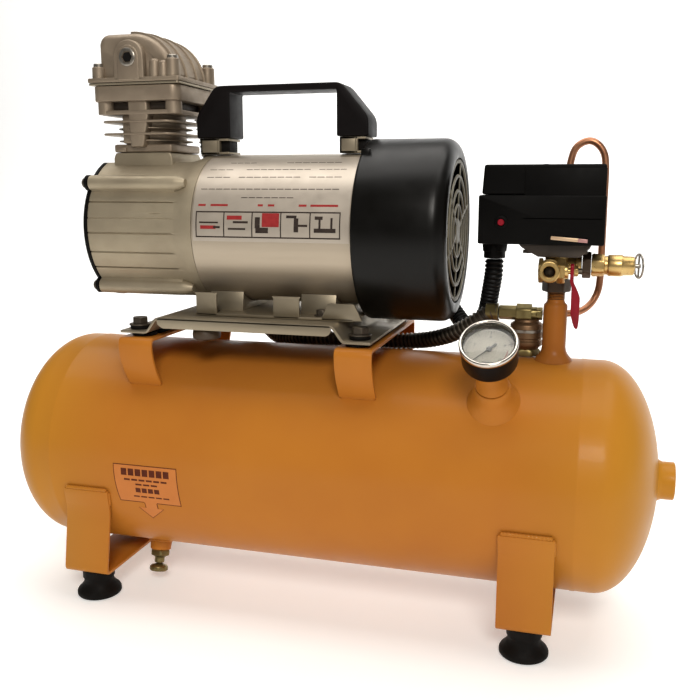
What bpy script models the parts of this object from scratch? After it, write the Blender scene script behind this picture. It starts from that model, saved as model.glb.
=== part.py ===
"""A tank-mounted airbrush compressor, as the separate pieces that it comes apart into.

Sizes in this file are millimetres, which the helpers turn into metres. X runs along
the tank, -Y is the front, and heights are measured from the tank's own axis. Every
piece is parented to one empty, which puts the middle of the feet at the origin.
"""
import math

import bmesh
import bpy
from mathutils import Matrix, Vector

MM = 0.001
GAP = 0.3  # air between pieces that touch

# Where the tank's axis stands over the middle of the object's footprint.
CENTRE_X = -5.65
CENTRE_Y = 10.42
AXIS_HEIGHT = 120.0

# Tank
TANK_RADIUS = 88.0
TANK_WALL = 2.0
BARREL_HALF = 217.5
HEAD_DEPTH = 44.3
PORT_RADIUS = 5.0

# Legs, feet and saddles
LEG_X = (-180.6, 172.2)
LEG_WIDTH = 39.0
LEG_SHEET = 2.7
LEFT_LEG_LEAN = 0.11  # its sides lean in towards the tank's middle
FOOT_Y = 64.0
SADDLE_X = (-129.0, 44.8)
SADDLE_WIDTH = 28.0
SADDLE_TOP = 102.3
SADDLE_SHEET = 2.5

# Motor tray
TRAY_TOP = 118.3
TRAY_SHEET = 2.0
TRAY_HALF_DEPTH = 72.0
FLANGE_Z = 106.2

# Motor
MOTOR_Z = 183.2
HOUSING_RADIUS = 58.0
CRANK_LEFT = -177.4
CRANK_RIGHT = -88.0
HOUSING_RIGHT = 43.0
BOSSES = [(-47.5, 36.0), (-39.0, -45.5), (47.5, 36.0), (39.0, -45.5)]  # Y and Z of the case's corner bosses
CAP_RADIUS = 68.9
CAP_LEFT = 40.3
CAP_RIGHT = 107.3
SHAFT_RADIUS = 5.0

# Pump
PUMP_X = -144.0
BORE = 18.5
THROW = 8.0  # of the crank, so the piston's stroke is twice this
DECK_Z = 294.0  # top of the cylinder
HEAD_TOP = 336.0

# Pipework over the tank's right end
COLUMN_X = 181.3
COLUMN_RADIUS = 8.8
MANIFOLD_Z = 149.3
OUTLET_X = 177.0
OUTLET_Z = 157.0
STEM_Y = -20.0
SAFETY_Z = 160.0
CHECK_X = 160.0
CHECK_Y = 10.0
CHECK_Z = 121.0

# Pressure switch
SWITCH_LEFT = 125.5
SWITCH_RIGHT = 213.5
SWITCH_FRONT = -30.0
SWITCH_BACK = 28.0
SWITCH_BOTTOM = 176.0
SWITCH_SPLIT = 210.7
SWITCH_TOP = 232.0
GLAND_X = 133.5
GLAND_Y = 12.0

# Gauge, on a bung that leans forward from the tank's top
GAUGE_X = 143.5
GAUGE_LIFT = math.radians(49.7)
GAUGE_BACK = 131.5  # distance of the case's back from the tank's axis
GAUGE_FACE = 152.6

# Drain, under the tank near its left end
DRAIN_X = -141.5
DRAIN_LEAN = math.radians(17.0)

X = Vector((1, 0, 0))
Y = Vector((0, 1, 0))
Z = Vector((0, 0, 1))
GAUGE_AXIS = Vector((0, -math.cos(GAUGE_LIFT), math.sin(GAUGE_LIFT)))
DRAIN_AXIS = Vector((0, -math.sin(DRAIN_LEAN), -math.cos(DRAIN_LEAN)))

# name: (colour, roughness, metallic)
FINISHES = {
    "tank_paint": ((0.58, 0.24, 0.025), 0.25, 0.0),
    "silver_paint": ((0.60, 0.53, 0.45), 0.35, 0.7),
    "cast_aluminium": ((0.50, 0.43, 0.35), 0.5, 0.8),
    "sheet_steel": ((0.48, 0.45, 0.38), 0.35, 0.9),
    "steel": ((0.45, 0.44, 0.42), 0.3, 1.0),
    "brass": ((0.66, 0.42, 0.13), 0.25, 1.0),
    "copper": ((0.50, 0.22, 0.12), 0.3, 1.0),
    "chrome": ((0.8, 0.8, 0.8), 0.08, 1.0),
    "black_plastic": ((0.012, 0.011, 0.010), 0.4, 0.0),
    "black_rubber": ((0.010, 0.010, 0.010), 0.7, 0.0),
    "hose_braid": ((0.16, 0.14, 0.12), 0.5, 0.6),
    "red_vinyl": ((0.42, 0.01, 0.015), 0.4, 0.0),
    "lamination": ((0.20, 0.20, 0.20), 0.5, 0.8),
    "dial_white": ((0.80, 0.76, 0.68), 0.6, 0.0),
    "glass": ((0.9, 0.93, 0.93), 0.05, 0.0),
}


def clear_scene():
    for obj in list(bpy.data.objects):
        bpy.data.objects.remove(obj, do_unlink=True)


def new_collection(name, hidden=False):
    collection = bpy.data.collections.new(name)
    bpy.context.scene.collection.children.link(collection)
    collection.hide_render = hidden
    return collection


clear_scene()
PARTS = new_collection("airbrush_compressor")
CUTTERS = new_collection("cutters", hidden=True)
ROOT = bpy.data.objects.new("airbrush_compressor_root", None)
ROOT.location = Vector((CENTRE_X, CENTRE_Y, AXIS_HEIGHT)) * MM
PARTS.objects.link(ROOT)


def finish_material(name):
    """The named finish as a Principled material, made once."""
    if name in bpy.data.materials:
        return bpy.data.materials[name]
    colour, roughness, metallic = FINISHES[name]
    material = bpy.data.materials.new(name)
    material.use_nodes = True
    shader = material.node_tree.nodes["Principled BSDF"]
    shader.inputs["Base Color"].default_value = (*colour, 1.0)
    shader.inputs["Roughness"].default_value = roughness
    shader.inputs["Metallic"].default_value = metallic
    return material


def facing(toward):
    """The smallest rotation that turns local +Z to a direction."""
    return Z.rotation_difference(Vector(toward)).to_euler()


def register(obj, finish):
    """Puts a piece in the parts collection, or in the cutters when it has no finish."""
    (PARTS if finish else CUTTERS).objects.link(obj)
    obj.parent = ROOT
    if finish:
        obj.data.materials.append(finish_material(finish))
    else:
        obj.hide_render = True
        obj.display_type = "WIRE"
    return obj


def from_bmesh(name, shape, at, toward, finish):
    mesh = bpy.data.meshes.new(name)
    shape.to_mesh(mesh)
    shape.free()
    obj = bpy.data.objects.new(name, mesh)
    obj.location = Vector(at) * MM
    obj.rotation_euler = facing(toward)
    return register(obj, finish)


def smooth(obj, angle=35.0):
    obj.data.shade_smooth()
    obj.data.set_sharp_from_angle(angle=math.radians(angle))


def bevel(obj, width, segments=2):
    modifier = obj.modifiers.new("rounded_edges", "BEVEL")
    modifier.width = width * MM
    modifier.segments = segments
    modifier.limit_method = "ANGLE"
    modifier.angle_limit = math.radians(40)
    return obj


def box(name, low, high, finish=None, origin=None):
    """A block between two corners, with its origin at its middle or at a given point."""
    low, high = Vector(low), Vector(high)
    origin = (low + high) / 2 if origin is None else Vector(origin)
    shape = bmesh.new()
    place = Matrix.Translation(((low + high) / 2 - origin) * MM) @ Matrix.Diagonal((*((high - low) * MM), 1))
    bmesh.ops.create_cube(shape, size=1.0, matrix=place)
    return from_bmesh(name, shape, origin, Z, finish)


def rod(name, radius, length, at, toward, finish=None, sides=20, end_radius=None):
    """A cylinder or cone that starts at a point and runs along a direction."""
    shape = bmesh.new()
    bmesh.ops.create_cone(
        shape, cap_ends=True, segments=sides, radius1=radius * MM,
        radius2=(radius if end_radius is None else end_radius) * MM, depth=length * MM,
        matrix=Matrix.Translation((0, 0, length / 2 * MM)),
    )
    return from_bmesh(name, shape, at, toward, finish)


def ball(name, radius, at, finish=None):
    shape = bmesh.new()
    bmesh.ops.create_uvsphere(shape, u_segments=12, v_segments=8, radius=radius * MM)
    return from_bmesh(name, shape, at, Z, finish)


def turned(name, profile, at, toward, finish=None, steps=24, ring=False):
    """Spins a profile of (radius, height) points, outer side first from top to bottom, round its axis."""
    shape = bmesh.new()
    corners = [shape.verts.new((radius * MM, 0, height * MM)) for radius, height in profile]
    for first, second in zip(corners, corners[1:] + corners[:1] if ring else corners[1:]):
        shape.edges.new((first, second))
    obj = from_bmesh(name, shape, at, toward, finish)
    spin = obj.modifiers.new("spin", "SCREW")
    spin.steps = spin.render_steps = steps
    spin.use_merge_vertices = True
    spin.merge_threshold = 0.00001
    return obj


def slab(name, outlines, thickness, at, across, up, finish=None):
    """A plate from a flat outline of (across, up) points; further outlines are its holes."""
    curve = bpy.data.curves.new(name, "CURVE")
    curve.dimensions = "2D"
    curve.fill_mode = "BOTH"
    curve.extrude = thickness / 2 * MM
    for outline in outlines:
        spline = curve.splines.new("POLY")
        spline.points.add(len(outline) - 1)
        spline.use_cyclic_u = True
        for point, (first, second) in zip(spline.points, outline):
            point.co = (first * MM, second * MM, 0, 1)
    curve_object = bpy.data.objects.new(name, curve)
    bpy.context.scene.collection.objects.link(curve_object)
    mesh = welded_mesh(curve_object)
    obj = bpy.data.objects.new(name, mesh)
    obj.location = Vector(at) * MM
    obj.rotation_euler = Matrix((across, up, across.cross(up))).transposed().to_euler()
    return register(obj, finish)


def welded_mesh(curve_object):
    """The mesh of a curve with its loose caps joined on; the curve is removed."""
    bpy.context.view_layer.update()
    evaluated = curve_object.evaluated_get(bpy.context.evaluated_depsgraph_get())
    mesh = bpy.data.meshes.new_from_object(evaluated)
    curve = curve_object.data
    name = curve_object.name
    bpy.data.objects.remove(curve_object, do_unlink=True)
    bpy.data.curves.remove(curve)
    shape = bmesh.new()
    shape.from_mesh(mesh)
    bmesh.ops.remove_doubles(shape, verts=shape.verts, dist=0.000005)
    bmesh.ops.recalc_face_normals(shape, faces=shape.faces)
    shape.to_mesh(mesh)
    shape.free()
    mesh.name = name
    return mesh


def strip(name, path, low, high, thickness, finish, along="X"):
    """A bent sheet: a path of (across, up) points, as wide as low to high along X or Y."""
    shape = bmesh.new()
    rows = []
    for across, up in path:
        if along == "X":
            ends = [(low, across, up), (high, across, up)]
        else:
            ends = [(across, low, up), (across, high, up)]
        rows.append([shape.verts.new(Vector(end) * MM) for end in ends])
    for first, second in zip(rows, rows[1:]):
        shape.faces.new((first[0], first[1], second[1], second[0]))
    obj = from_bmesh(name, shape, (0, 0, 0), Z, finish)
    sheet = obj.modifiers.new("sheet", "SOLIDIFY")
    sheet.thickness = thickness * MM
    sheet.offset = 0.0
    sheet.use_even_offset = True
    return obj


def smooth_route(points, per_span):
    """Points along a Catmull-Rom curve through the route's own points."""
    points = [Vector(p) for p in points]
    padded = [2 * points[0] - points[1], *points, 2 * points[-1] - points[-2]]
    route = []
    for a, b, c, d in zip(padded, padded[1:], padded[2:], padded[3:]):
        for step in range(per_span):
            t = step / per_span
            route.append(
                0.5 * (2 * b + (c - a) * t + (2 * a - 5 * b + 4 * c - d) * t * t
                       + (3 * b - a - 3 * c + d) * t * t * t)
            )
    return route + [points[-1]]


def tube(name, points, radius, finish):
    curve = bpy.data.curves.new(name, "CURVE")
    curve.dimensions = "3D"
    curve.bevel_depth = radius * MM
    curve.bevel_resolution = 2
    curve.use_fill_caps = True
    spline = curve.splines.new("POLY")
    spline.points.add(len(points) - 1)
    for point, place in zip(spline.points, points):
        point.co = (*(Vector(place) * MM), 1)
    return register(bpy.data.objects.new(name, curve), finish)


def boolean(obj, other, operation):
    modifier = obj.modifiers.new(other.name, "BOOLEAN")
    modifier.operation = operation
    modifier.object = other
    modifier.solver = "EXACT"
    return obj


def cut(obj, *cutters):
    for cutter in cutters:
        boolean(obj, cutter, "DIFFERENCE")
    return obj


def unite(obj, *others):
    for other in others:
        boolean(obj, other, "UNION")
    return obj


def arc(radius, start, end, steps, centre=(0.0, 0.0)):
    """Points on an arc, between two angles in degrees."""
    angles = [math.radians(start + (end - start) * i / steps) for i in range(steps + 1)]
    return [(centre[0] + radius * math.cos(a), centre[1] + radius * math.sin(a)) for a in angles]


def circle(radius, steps=20):
    return arc(radius, 0, 360 - 360 / steps, steps - 1)


def hexagon(across_flats):
    return arc(across_flats / math.sqrt(3), 30, 330, 5)


def mirrored(half):
    """A path over one side, from the end to the middle, continued down the other side."""
    return half + [(-across, up) for across, up in reversed(half)]


# ---------------------------------------------------------------- tank

def head_profile(hole):
    """Half of a 2:1 elliptical end: down its outer side, then up its inner one."""
    def side(radius, depth):
        start = math.asin(hole / radius) if hole else 0.0
        angles = [start + (math.pi / 2 - start) * i / 5 for i in range(6)]
        return [(radius * math.sin(a), depth * math.cos(a)) for a in angles]

    outer = side(TANK_RADIUS, HEAD_DEPTH)
    inner = side(TANK_RADIUS - TANK_WALL, HEAD_DEPTH - TANK_WALL)
    return outer + inner[::-1]


def make_tank():
    inner = TANK_RADIUS - TANK_WALL
    barrel = turned(
        "tank_barrel",
        [(TANK_RADIUS, BARREL_HALF), (TANK_RADIUS, -BARREL_HALF), (inner, -BARREL_HALF), (inner, BARREL_HALF)],
        (0, 0, 0), X, "tank_paint", steps=40, ring=True,
    )
    bung_base = TANK_RADIUS - 1.2
    gauge_bung = rod("gauge_bung", 13.5, 19.0, Vector((GAUGE_X, 0, 0)) + GAUGE_AXIS * bung_base, GAUGE_AXIS,
                     end_radius=12.0)
    drain_bung = rod("drain_bung", 9.5, 10.0, Vector((DRAIN_X, 0, 0)) + DRAIN_AXIS * bung_base, DRAIN_AXIS,
                     end_radius=8.5)
    unite(barrel, gauge_bung, drain_bung)
    ports = [
        ("gauge_port", (GAUGE_X, 0, 0), GAUGE_AXIS),
        ("drain_port", (DRAIN_X, 0, 0), DRAIN_AXIS),
        ("column_port", (COLUMN_X, 0, 0), Z),
        ("check_port", (CHECK_X, CHECK_Y, 0), Z),
    ]
    for name, start, toward in ports:
        cut(barrel, rod(name, PORT_RADIUS, 130.0, start, toward, sides=12))
    smooth(barrel)
    for name, toward, hole in (("tank_head_left", -X, 0.0), ("tank_head_right", X, 6.0)):
        head = turned(name, head_profile(hole), toward * (BARREL_HALF + GAP), toward, "tank_paint",
                      steps=32, ring=bool(hole))
        if hole:
            pole = BARREL_HALF + HEAD_DEPTH
            unite(head, turned("end_bung", [(13.4, 13.4), (14.2, 12.4), (14.2, 0.0), (8.6, 0.0), (8.6, 13.4)],
                               (pole - 1.8, 0, 0), X, ring=True))
        smooth(head)
    plug = rod("end_plug", 8.2, 9.0, (pole + GAP, 0, 0), X, "steel", sides=20)
    cut(plug, rod("end_plug_socket", 4.6, 8.0, (pole + 5.0, 0, 0), X, sides=6))


def make_legs():
    """Bent straps under the tank, each with two rubber feet."""
    bottom = -AXIS_HEIGHT + 24.0 + LEG_SHEET / 2
    half = [(-87.6, -21.0), (-85.0, -30.0), (-82.4, -37.0), (-81.65, -45.0), (-81.65, bottom + 5.0)]
    half += arc(4.0, 180, 270, 3, centre=(-77.65, bottom + 4.0))
    foot = [(9.0, 23.7), (13.0, 23.7), (13.0, 14.0), (12.2, 11.0), (14.5, 6.5), (18.0, 3.0), (18.0, 0.0)]
    for side, x in zip(("left", "right"), LEG_X):
        leg = strip(f"leg_{side}", mirrored(half), x - LEG_WIDTH / 2, x + LEG_WIDTH / 2, LEG_SHEET,
                    "tank_paint")
        if side == "left":
            for corner in leg.data.vertices:
                corner.co.x += LEFT_LEG_LEAN * (corner.co.z - bottom * MM)
        for place, y in (("front", -FOOT_Y), ("rear", FOOT_Y)):
            obj = turned(f"foot_{place}_{side}", [(0.0, 23.7), *foot, (0.0, 0.0)], (x, y, -AXIS_HEIGHT), Z,
                         "black_rubber", steps=16)
            smooth(obj)


def make_saddles():
    """Arched straps welded on the tank, which carry the motor's tray."""
    top = SADDLE_TOP - SADDLE_SHEET / 2
    half = [(-61.9, 63.9), (-66.2, 70.0), (-70.6, 77.5), (-73.8, 85.0), (-75.4, 92.0)]
    half += arc(4.0, 170, 95, 3, centre=(-71.4, top - 4.0))
    for side, x in zip(("left", "right"), SADDLE_X):
        strip(f"saddle_{side}", mirrored(half), x - SADDLE_WIDTH / 2, x + SADDLE_WIDTH / 2, SADDLE_SHEET,
              "tank_paint")
        isolator = box(f"isolator_{side}", (x - 10.0, -70.0, SADDLE_TOP + GAP),
                       (x + 10.0, 70.0, FLANGE_Z - TRAY_SHEET / 2 - GAP), "black_rubber")
        bevel(isolator, 0.6, 1)


def make_tray():
    """The sheet tray on the isolators, and the upright ears that hold the motor."""
    top = TRAY_TOP - TRAY_SHEET / 2
    path = [(-143.5, FLANGE_Z), (-121.0, FLANGE_Z), (-113.0, top), (28.0, top), (36.0, FLANGE_Z),
            (57.0, FLANGE_Z)]
    tray = strip("motor_tray", path[::-1], -TRAY_HALF_DEPTH, TRAY_HALF_DEPTH, TRAY_SHEET, "sheet_steel",
                 along="Y")
    for place, low in (("front", -TRAY_HALF_DEPTH), ("rear", TRAY_HALF_DEPTH - TRAY_SHEET)):
        unite(tray, box(f"tray_lip_{place}", (-112.0, low, 110.0), (27.0, low + TRAY_SHEET, TRAY_TOP - 0.4)))

    base = TRAY_TOP + GAP
    cradle = box("motor_cradle", (-88.0, -54.0, base), (39.0, 54.0, base + 2.0), "sheet_steel")
    for side, y in (("front", -54.0), ("rear", 52.0)):
        for i, (left, right, height) in enumerate(((-87.0, -70.0, 18.0), (-23.5, -3.0, 17.0))):
            unite(cradle, box(f"ear_{side}_{i}", (left, y, base + 0.5), (right, y + 2.0, base + height)))
        tab = slab(f"tab_{side}", [[(-16.0, 0.5), (-10.5, 13.0), (9.5, 13.0), (16.0, 0.5)]], 2.0,
                   (30.0, y + 1.0, base), X, Z)
        unite(cradle, tab)
    pad = box("motor_pad", (-70.0, -36.0, base + 1.0), (10.0, 36.0, MOTOR_Z - 40.0))
    bottom_of_housing = rod("housing_seat", HOUSING_RADIUS + GAP, 200.0, (-120.0, 0, MOTOR_Z), X, sides=64)
    unite(cradle, cut(pad, bottom_of_housing))


# ---------------------------------------------------------------- motor and pump

def make_crankcase():
    length = CRANK_RIGHT - CRANK_LEFT
    case = rod("crankcase", 56.5, length, (CRANK_LEFT, 0, MOTOR_Z), X, "cast_aluminium", sides=32)
    flat_top = box("case_flat_top", (CRANK_LEFT - 10.0, -50.0, MOTOR_Z + 52.5),
                   (CRANK_RIGHT + 10.0, 50.0, 260.0))
    cut(case, flat_top)
    for i, (y, z) in enumerate(BOSSES):
        unite(case, rod(f"case_boss_{i}", 6.0, length - 8.0, (CRANK_LEFT + 0.2, y, MOTOR_Z + z), X, sides=14))
    neck = box("case_neck", (PUMP_X - 25.0, -26.0, MOTOR_Z + 30.0), (PUMP_X + 27.0, 26.0, 243.0))
    unite(case, neck)
    cavity = rod("case_cavity", 49.0, length, (CRANK_LEFT - 12.0, 0, MOTOR_Z), X, sides=32)
    bearing_seat = rod("case_bearing_seat", 13.0, 40.0, (CRANK_RIGHT - 30.0, 0, MOTOR_Z), X, sides=20)
    throat = rod("case_throat", 19.0, 80.0, (PUMP_X, 0, MOTOR_Z + 20.0), Z, sides=20)
    cut(case, cavity, bearing_seat, throat)
    smooth(case)
    cover = rod("crankcase_cover", 57.0, 3.3, (CRANK_LEFT - GAP - 3.3, 0, MOTOR_Z), X, "black_plastic",
                sides=32)
    cut(cover, flat_top)
    for i, (y, z) in enumerate(BOSSES):
        unite(cover, rod(f"cover_ear_{i}", 6.2, 3.1, (CRANK_LEFT - GAP - 3.2, y, MOTOR_Z + z), X, sides=14))
    smooth(cover)


def make_motor():
    left = CRANK_RIGHT + GAP
    radius = HOUSING_RADIUS
    wall = HOUSING_RIGHT - 4.0
    housing = turned(
        "stator_housing",
        [(radius, HOUSING_RIGHT), (radius, left), (radius - 3.0, left), (radius - 3.0, wall),
         (13.0, wall), (13.0, HOUSING_RIGHT)],
        (0, 0, MOTOR_Z), X, "silver_paint", steps=40, ring=True,
    )
    smooth(housing)
    turned("stator_core", [(54.5, 15.0), (54.5, -60.0), (33.0, -60.0), (33.0, 15.0)], (0, 0, MOTOR_Z), X,
           "lamination", steps=24, ring=True)
    turned("rotor_core", [(32.4, 13.0), (32.4, -58.0), (5.3, -58.0), (5.3, 13.0)], (0, 0, MOTOR_Z), X,
           "lamination", steps=24, ring=True)
    shaft = rod("crankshaft", SHAFT_RADIUS, 231.0, (-132.0, 0, MOTOR_Z), X, "steel", sides=16)
    disc = rod("crank_disc", 20.0, 8.0, (-138.6, 0, MOTOR_Z - 3.0), X, sides=24)
    pin = rod("crank_pin", 6.5, 3.0, (-139.6, 0, MOTOR_Z + THROW), X, sides=16)
    unite(shaft, disc, pin)
    for name, start in (("bearing_crank_side", CRANK_RIGHT - 10.0), ("bearing_fan_side", HOUSING_RIGHT - 5.0)):
        turned(name, [(12.7, 9.0), (12.7, 0.0), (5.3, 0.0), (5.3, 9.0)], (start, 0, MOTOR_Z), X, "steel",
               steps=20, ring=True)


def make_fan_cap():
    outer = [(54.0, CAP_RIGHT), (58.5, CAP_RIGHT), (65.5, 104.0), (CAP_RADIUS, 96.0), (CAP_RADIUS, 42.0),
             (67.4, CAP_LEFT), (HOUSING_RADIUS + 0.5, CAP_LEFT)]
    inner = [(HOUSING_RADIUS + 0.5, 43.3), (65.9, 43.3), (65.9, 95.5), (58.0, 104.0), (54.0, 104.0)]
    cap = turned("fan_cap", outer + inner, (0, 0, MOTOR_Z), X, "black_plastic", steps=36, ring=True)
    smooth(cap)

    slots = []
    for inner_radius, outer_radius, count in ((16.0, 30.0, 6), (33.5, 48.5, 8)):
        half_gap = math.degrees(2.0 / inner_radius)
        for i in range(count):
            start = 360.0 * i / count + half_gap
            end = 360.0 * (i + 1) / count - half_gap
            slots.append(arc(inner_radius, start, end, 2) + arc(outer_radius, end, start, 4))
    slab("fan_grille", [circle(53.6, 32)] + slots, 2.6, (CAP_RIGHT - 1.6, 0, MOTOR_Z), Y, Z, "sheet_steel")

    fan = rod("cooling_fan", 15.0, 22.0, (62.0, 0, MOTOR_Z), X, "black_plastic", sides=20)
    for i in range(7):
        angle = 2 * math.pi * i / 7
        blade = box(f"fan_blade_{i}", (-9.0, -1.3, 12.0), (9.0, 1.3, 61.0), origin=(0, 0, 0))
        blade.location = Vector((73.0, 0, MOTOR_Z)) * MM
        pitch = Matrix.Rotation(math.radians(32), 3, "Z")
        blade.rotation_euler = (Matrix.Rotation(angle - math.pi / 2, 3, "X") @ pitch).to_euler()
        unite(fan, blade)
    cut(fan, rod("fan_bore", 5.3, 60.0, (45.0, 0, MOTOR_Z), X, sides=16))


def make_piston():
    """Piston and connecting rod in one, at the top of the stroke."""
    piston = rod("piston", BORE - 0.4, 12.0, (PUMP_X, 0, DECK_Z - 12.6), Z, "cast_aluminium", sides=20)
    big_end = rod("rod_big_end", 13.0, 8.0, (PUMP_X - 4.0, 0, MOTOR_Z + THROW), X, sides=20)
    shank = box("rod_shank", (PUMP_X - 3.5, -6.0, MOTOR_Z + THROW), (PUMP_X + 3.5, 6.0, DECK_Z - 10.0))
    unite(piston, big_end, shank)
    cut(piston, rod("rod_bore", 7.5, 20.0, (PUMP_X - 10.0, 0, MOTOR_Z + THROW), X, sides=16))


def make_cylinder():
    fins = []
    for z in (262.0, 252.4):
        fins += [(24.0, z + 0.8), (29.5, z + 0.6), (29.5, z - 0.6), (24.0, z - 0.8)]
    profile = [(24.0, 290.0), *fins, (24.0, 244.0), (BORE, 244.0), (BORE, 290.0)]
    barrel = turned("cylinder", profile, (PUMP_X, 0, 0), Z, "cast_aluminium", steps=20, ring=True)
    for i, z in enumerate((266.8, 257.2)):
        wide_fin = box(f"wide_fin_{i}", (PUMP_X - 32.5, -32.5, z - 0.8), (PUMP_X + 31.5, 32.5, z + 0.8))
        unite(barrel, wide_fin)
    base = box("cylinder_base", (PUMP_X - 24.5, -25.5, 243.3), (PUMP_X + 26.5, 25.5, 249.5))
    lower_plate = box("cylinder_lower_plate", (PUMP_X - 34.0, -32.0, 272.0), (PUMP_X + 36.0, 32.0, 275.5))
    deck = box("cylinder_deck", (PUMP_X - 37.0, -34.5, 282.0), (PUMP_X + 38.0, 34.5, DECK_Z))
    web = box("cylinder_web", (PUMP_X - 7.0, -32.0, 247.0), (PUMP_X + 9.0, -20.0, 285.0))
    unite(barrel, bevel(base, 2.0, 1), bevel(lower_plate, 6.0, 2), bevel(deck, 5.0, 2), web)
    for i, (x, y) in enumerate(((-29, -26), (-29, 26), (30, -26), (30, 26))):
        unite(barrel, rod(f"cylinder_pillar_{i}", 6.5, 14.0, (PUMP_X + x, y, 271.0), Z, sides=12))
    cut(barrel, rod("cylinder_bore", BORE, 80.0, (PUMP_X, 0, 230.0), Z, sides=20))


def make_head():
    x = PUMP_X + 0.5
    plate = box("valve_plate", (x - 39.0, -36.0, DECK_Z + GAP), (x + 39.0, 36.0, DECK_Z + 1.8), "sheet_steel")
    bevel(plate, 0.3, 1)
    low = DECK_Z + 1.8 + GAP
    flange = box("cylinder_head", (x - 39.5, -36.5, low), (x + 39.5, 36.5, low + 3.6), "cast_aluminium")
    bevel(flange, 1.2, 1)

    side = [(-31.0, low + 1.0), (32.0, low + 1.0), (32.0, 309.0)]
    side += arc(39.0, 8, 82, 6, centre=(-4.0, HEAD_TOP - 37.5))
    side += [(-23.0, HEAD_TOP), *arc(6.5, 100, 175, 3, centre=(-24.5, HEAD_TOP - 6.6))]
    dome = slab("head_dome", [side], 62.0, (x, 0, 0), X, Z)
    front = [(-31.0, low), (31.0, low)] + arc(20.0, 0, 80, 4, centre=(11.0, HEAD_TOP - 19.6))
    front += arc(20.0, 100, 180, 4, centre=(-11.0, HEAD_TOP - 19.6))
    boolean(dome, slab("head_dome_front", [front], 90.0, (x, 0, 0), Y, Z), "INTERSECT")
    port_z = 314.3
    boss = rod("head_port_boss", 13.0, 20.0, (x - 3.0, -17.0, port_z), -Y, sides=20)
    boss_foot = box("head_port_foot", (x - 16.0, -37.0, low + 1.0), (x + 10.0, -17.0, port_z))
    outlet = rod("head_outlet_boss", 9.0, 12.0, (x, 28.0, 309.0), Y, sides=16)
    unite(flange, dome, boss, boss_foot, outlet)
    for i, (dx, y, tall) in enumerate(((-32, -30, 11.5), (-32, 30, 11.5), (32, -30, 16.0), (33, 30, 16.0))):
        unite(flange, rod(f"head_pillar_{i}", 5.6, tall, (x + dx, y, low + 0.8), Z, sides=12))
    cut(flange, rod("head_port_socket", 4.6, 8.0, (x - 3.0, -33.5, port_z), -Y, sides=6))
    smooth(flange, 30.0)


def make_handle():
    outline = [(-101.0, 254.0), (-72.6, 254.0), (-72.6, 288.4), (14.6, 288.4), (14.6, 254.0), (39.6, 254.0),
               (39.6, 268.0), (18.0, 293.6), (-84.5, 293.6), (-101.0, 271.0)]
    handle = slab("handle", [outline], 28.0, (0, 0, 0), X, Z, "black_plastic")
    bevel(handle, 1.5, 1)
    for side, low, high in (("left", -99.0, -75.0), ("right", 16.5, 37.0)):
        low_z = MOTOR_Z + HOUSING_RADIUS + GAP
        bracket = box(f"handle_bracket_{side}", (low, -12.0, low_z), (high, 12.0, 253.7), "sheet_steel")
        opening = box(f"bracket_gap_{side}", (low + 2.0, -20.0, low_z + 2.0), (high - 2.0, 20.0, 251.7))
        cut(bracket, opening)


# ---------------------------------------------------------------- pipework

def make_check_valve():
    base = TANK_RADIUS + 0.6
    body = turned("check_valve",
                  [(0.0, 117.0), (9.0, 117.0), (12.4, 113.0), (12.4, 97.0), (9.0, 93.0), (9.0, base),
                   (0.0, base)],
                  (CHECK_X, CHECK_Y, 0), Z, "brass", steps=20)
    arm = rod("check_valve_arm", 7.4, 19.5, (CHECK_X - 8.0, CHECK_Y, CHECK_Z), X, sides=6)
    inlet = rod("check_valve_nut", 6.4, 16.0, (CHECK_X - 21.5, CHECK_Y, CHECK_Z), X, sides=6)
    unite(body, arm, inlet)


def make_column():
    base = TANK_RADIUS + 0.4
    outer = [(6.4, 148.6), (6.4, 132.0), (COLUMN_RADIUS, 129.5), (COLUMN_RADIUS, 94.0), (12.0, base + 0.2),
             (12.0, base)]
    pipe = turned("column_pipe", outer + [(4.8, base), (4.8, 148.6)], (COLUMN_X, 0, 0), Z, "tank_paint",
                  steps=16, ring=True)
    smooth(pipe)
    slab("column_nut", [hexagon(18.5), circle(6.8, 16)], 9.0, (COLUMN_X, 0, 144.4), X, Y, "steel")

    manifold = rod("brass_manifold", 8.6, 17.0, (COLUMN_X, 0, MANIFOLD_Z), Z, "brass", sides=20)
    safety_arm = rod("manifold_side_port", 6.0, 17.4, (COLUMN_X, 0, SAFETY_Z), X, sides=16)
    outlet_arm = rod("manifold_front_port", 6.0, 10.4, (OUTLET_X, 0, OUTLET_Z), -Y, sides=16)
    unite(manifold, safety_arm, outlet_arm)


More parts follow.
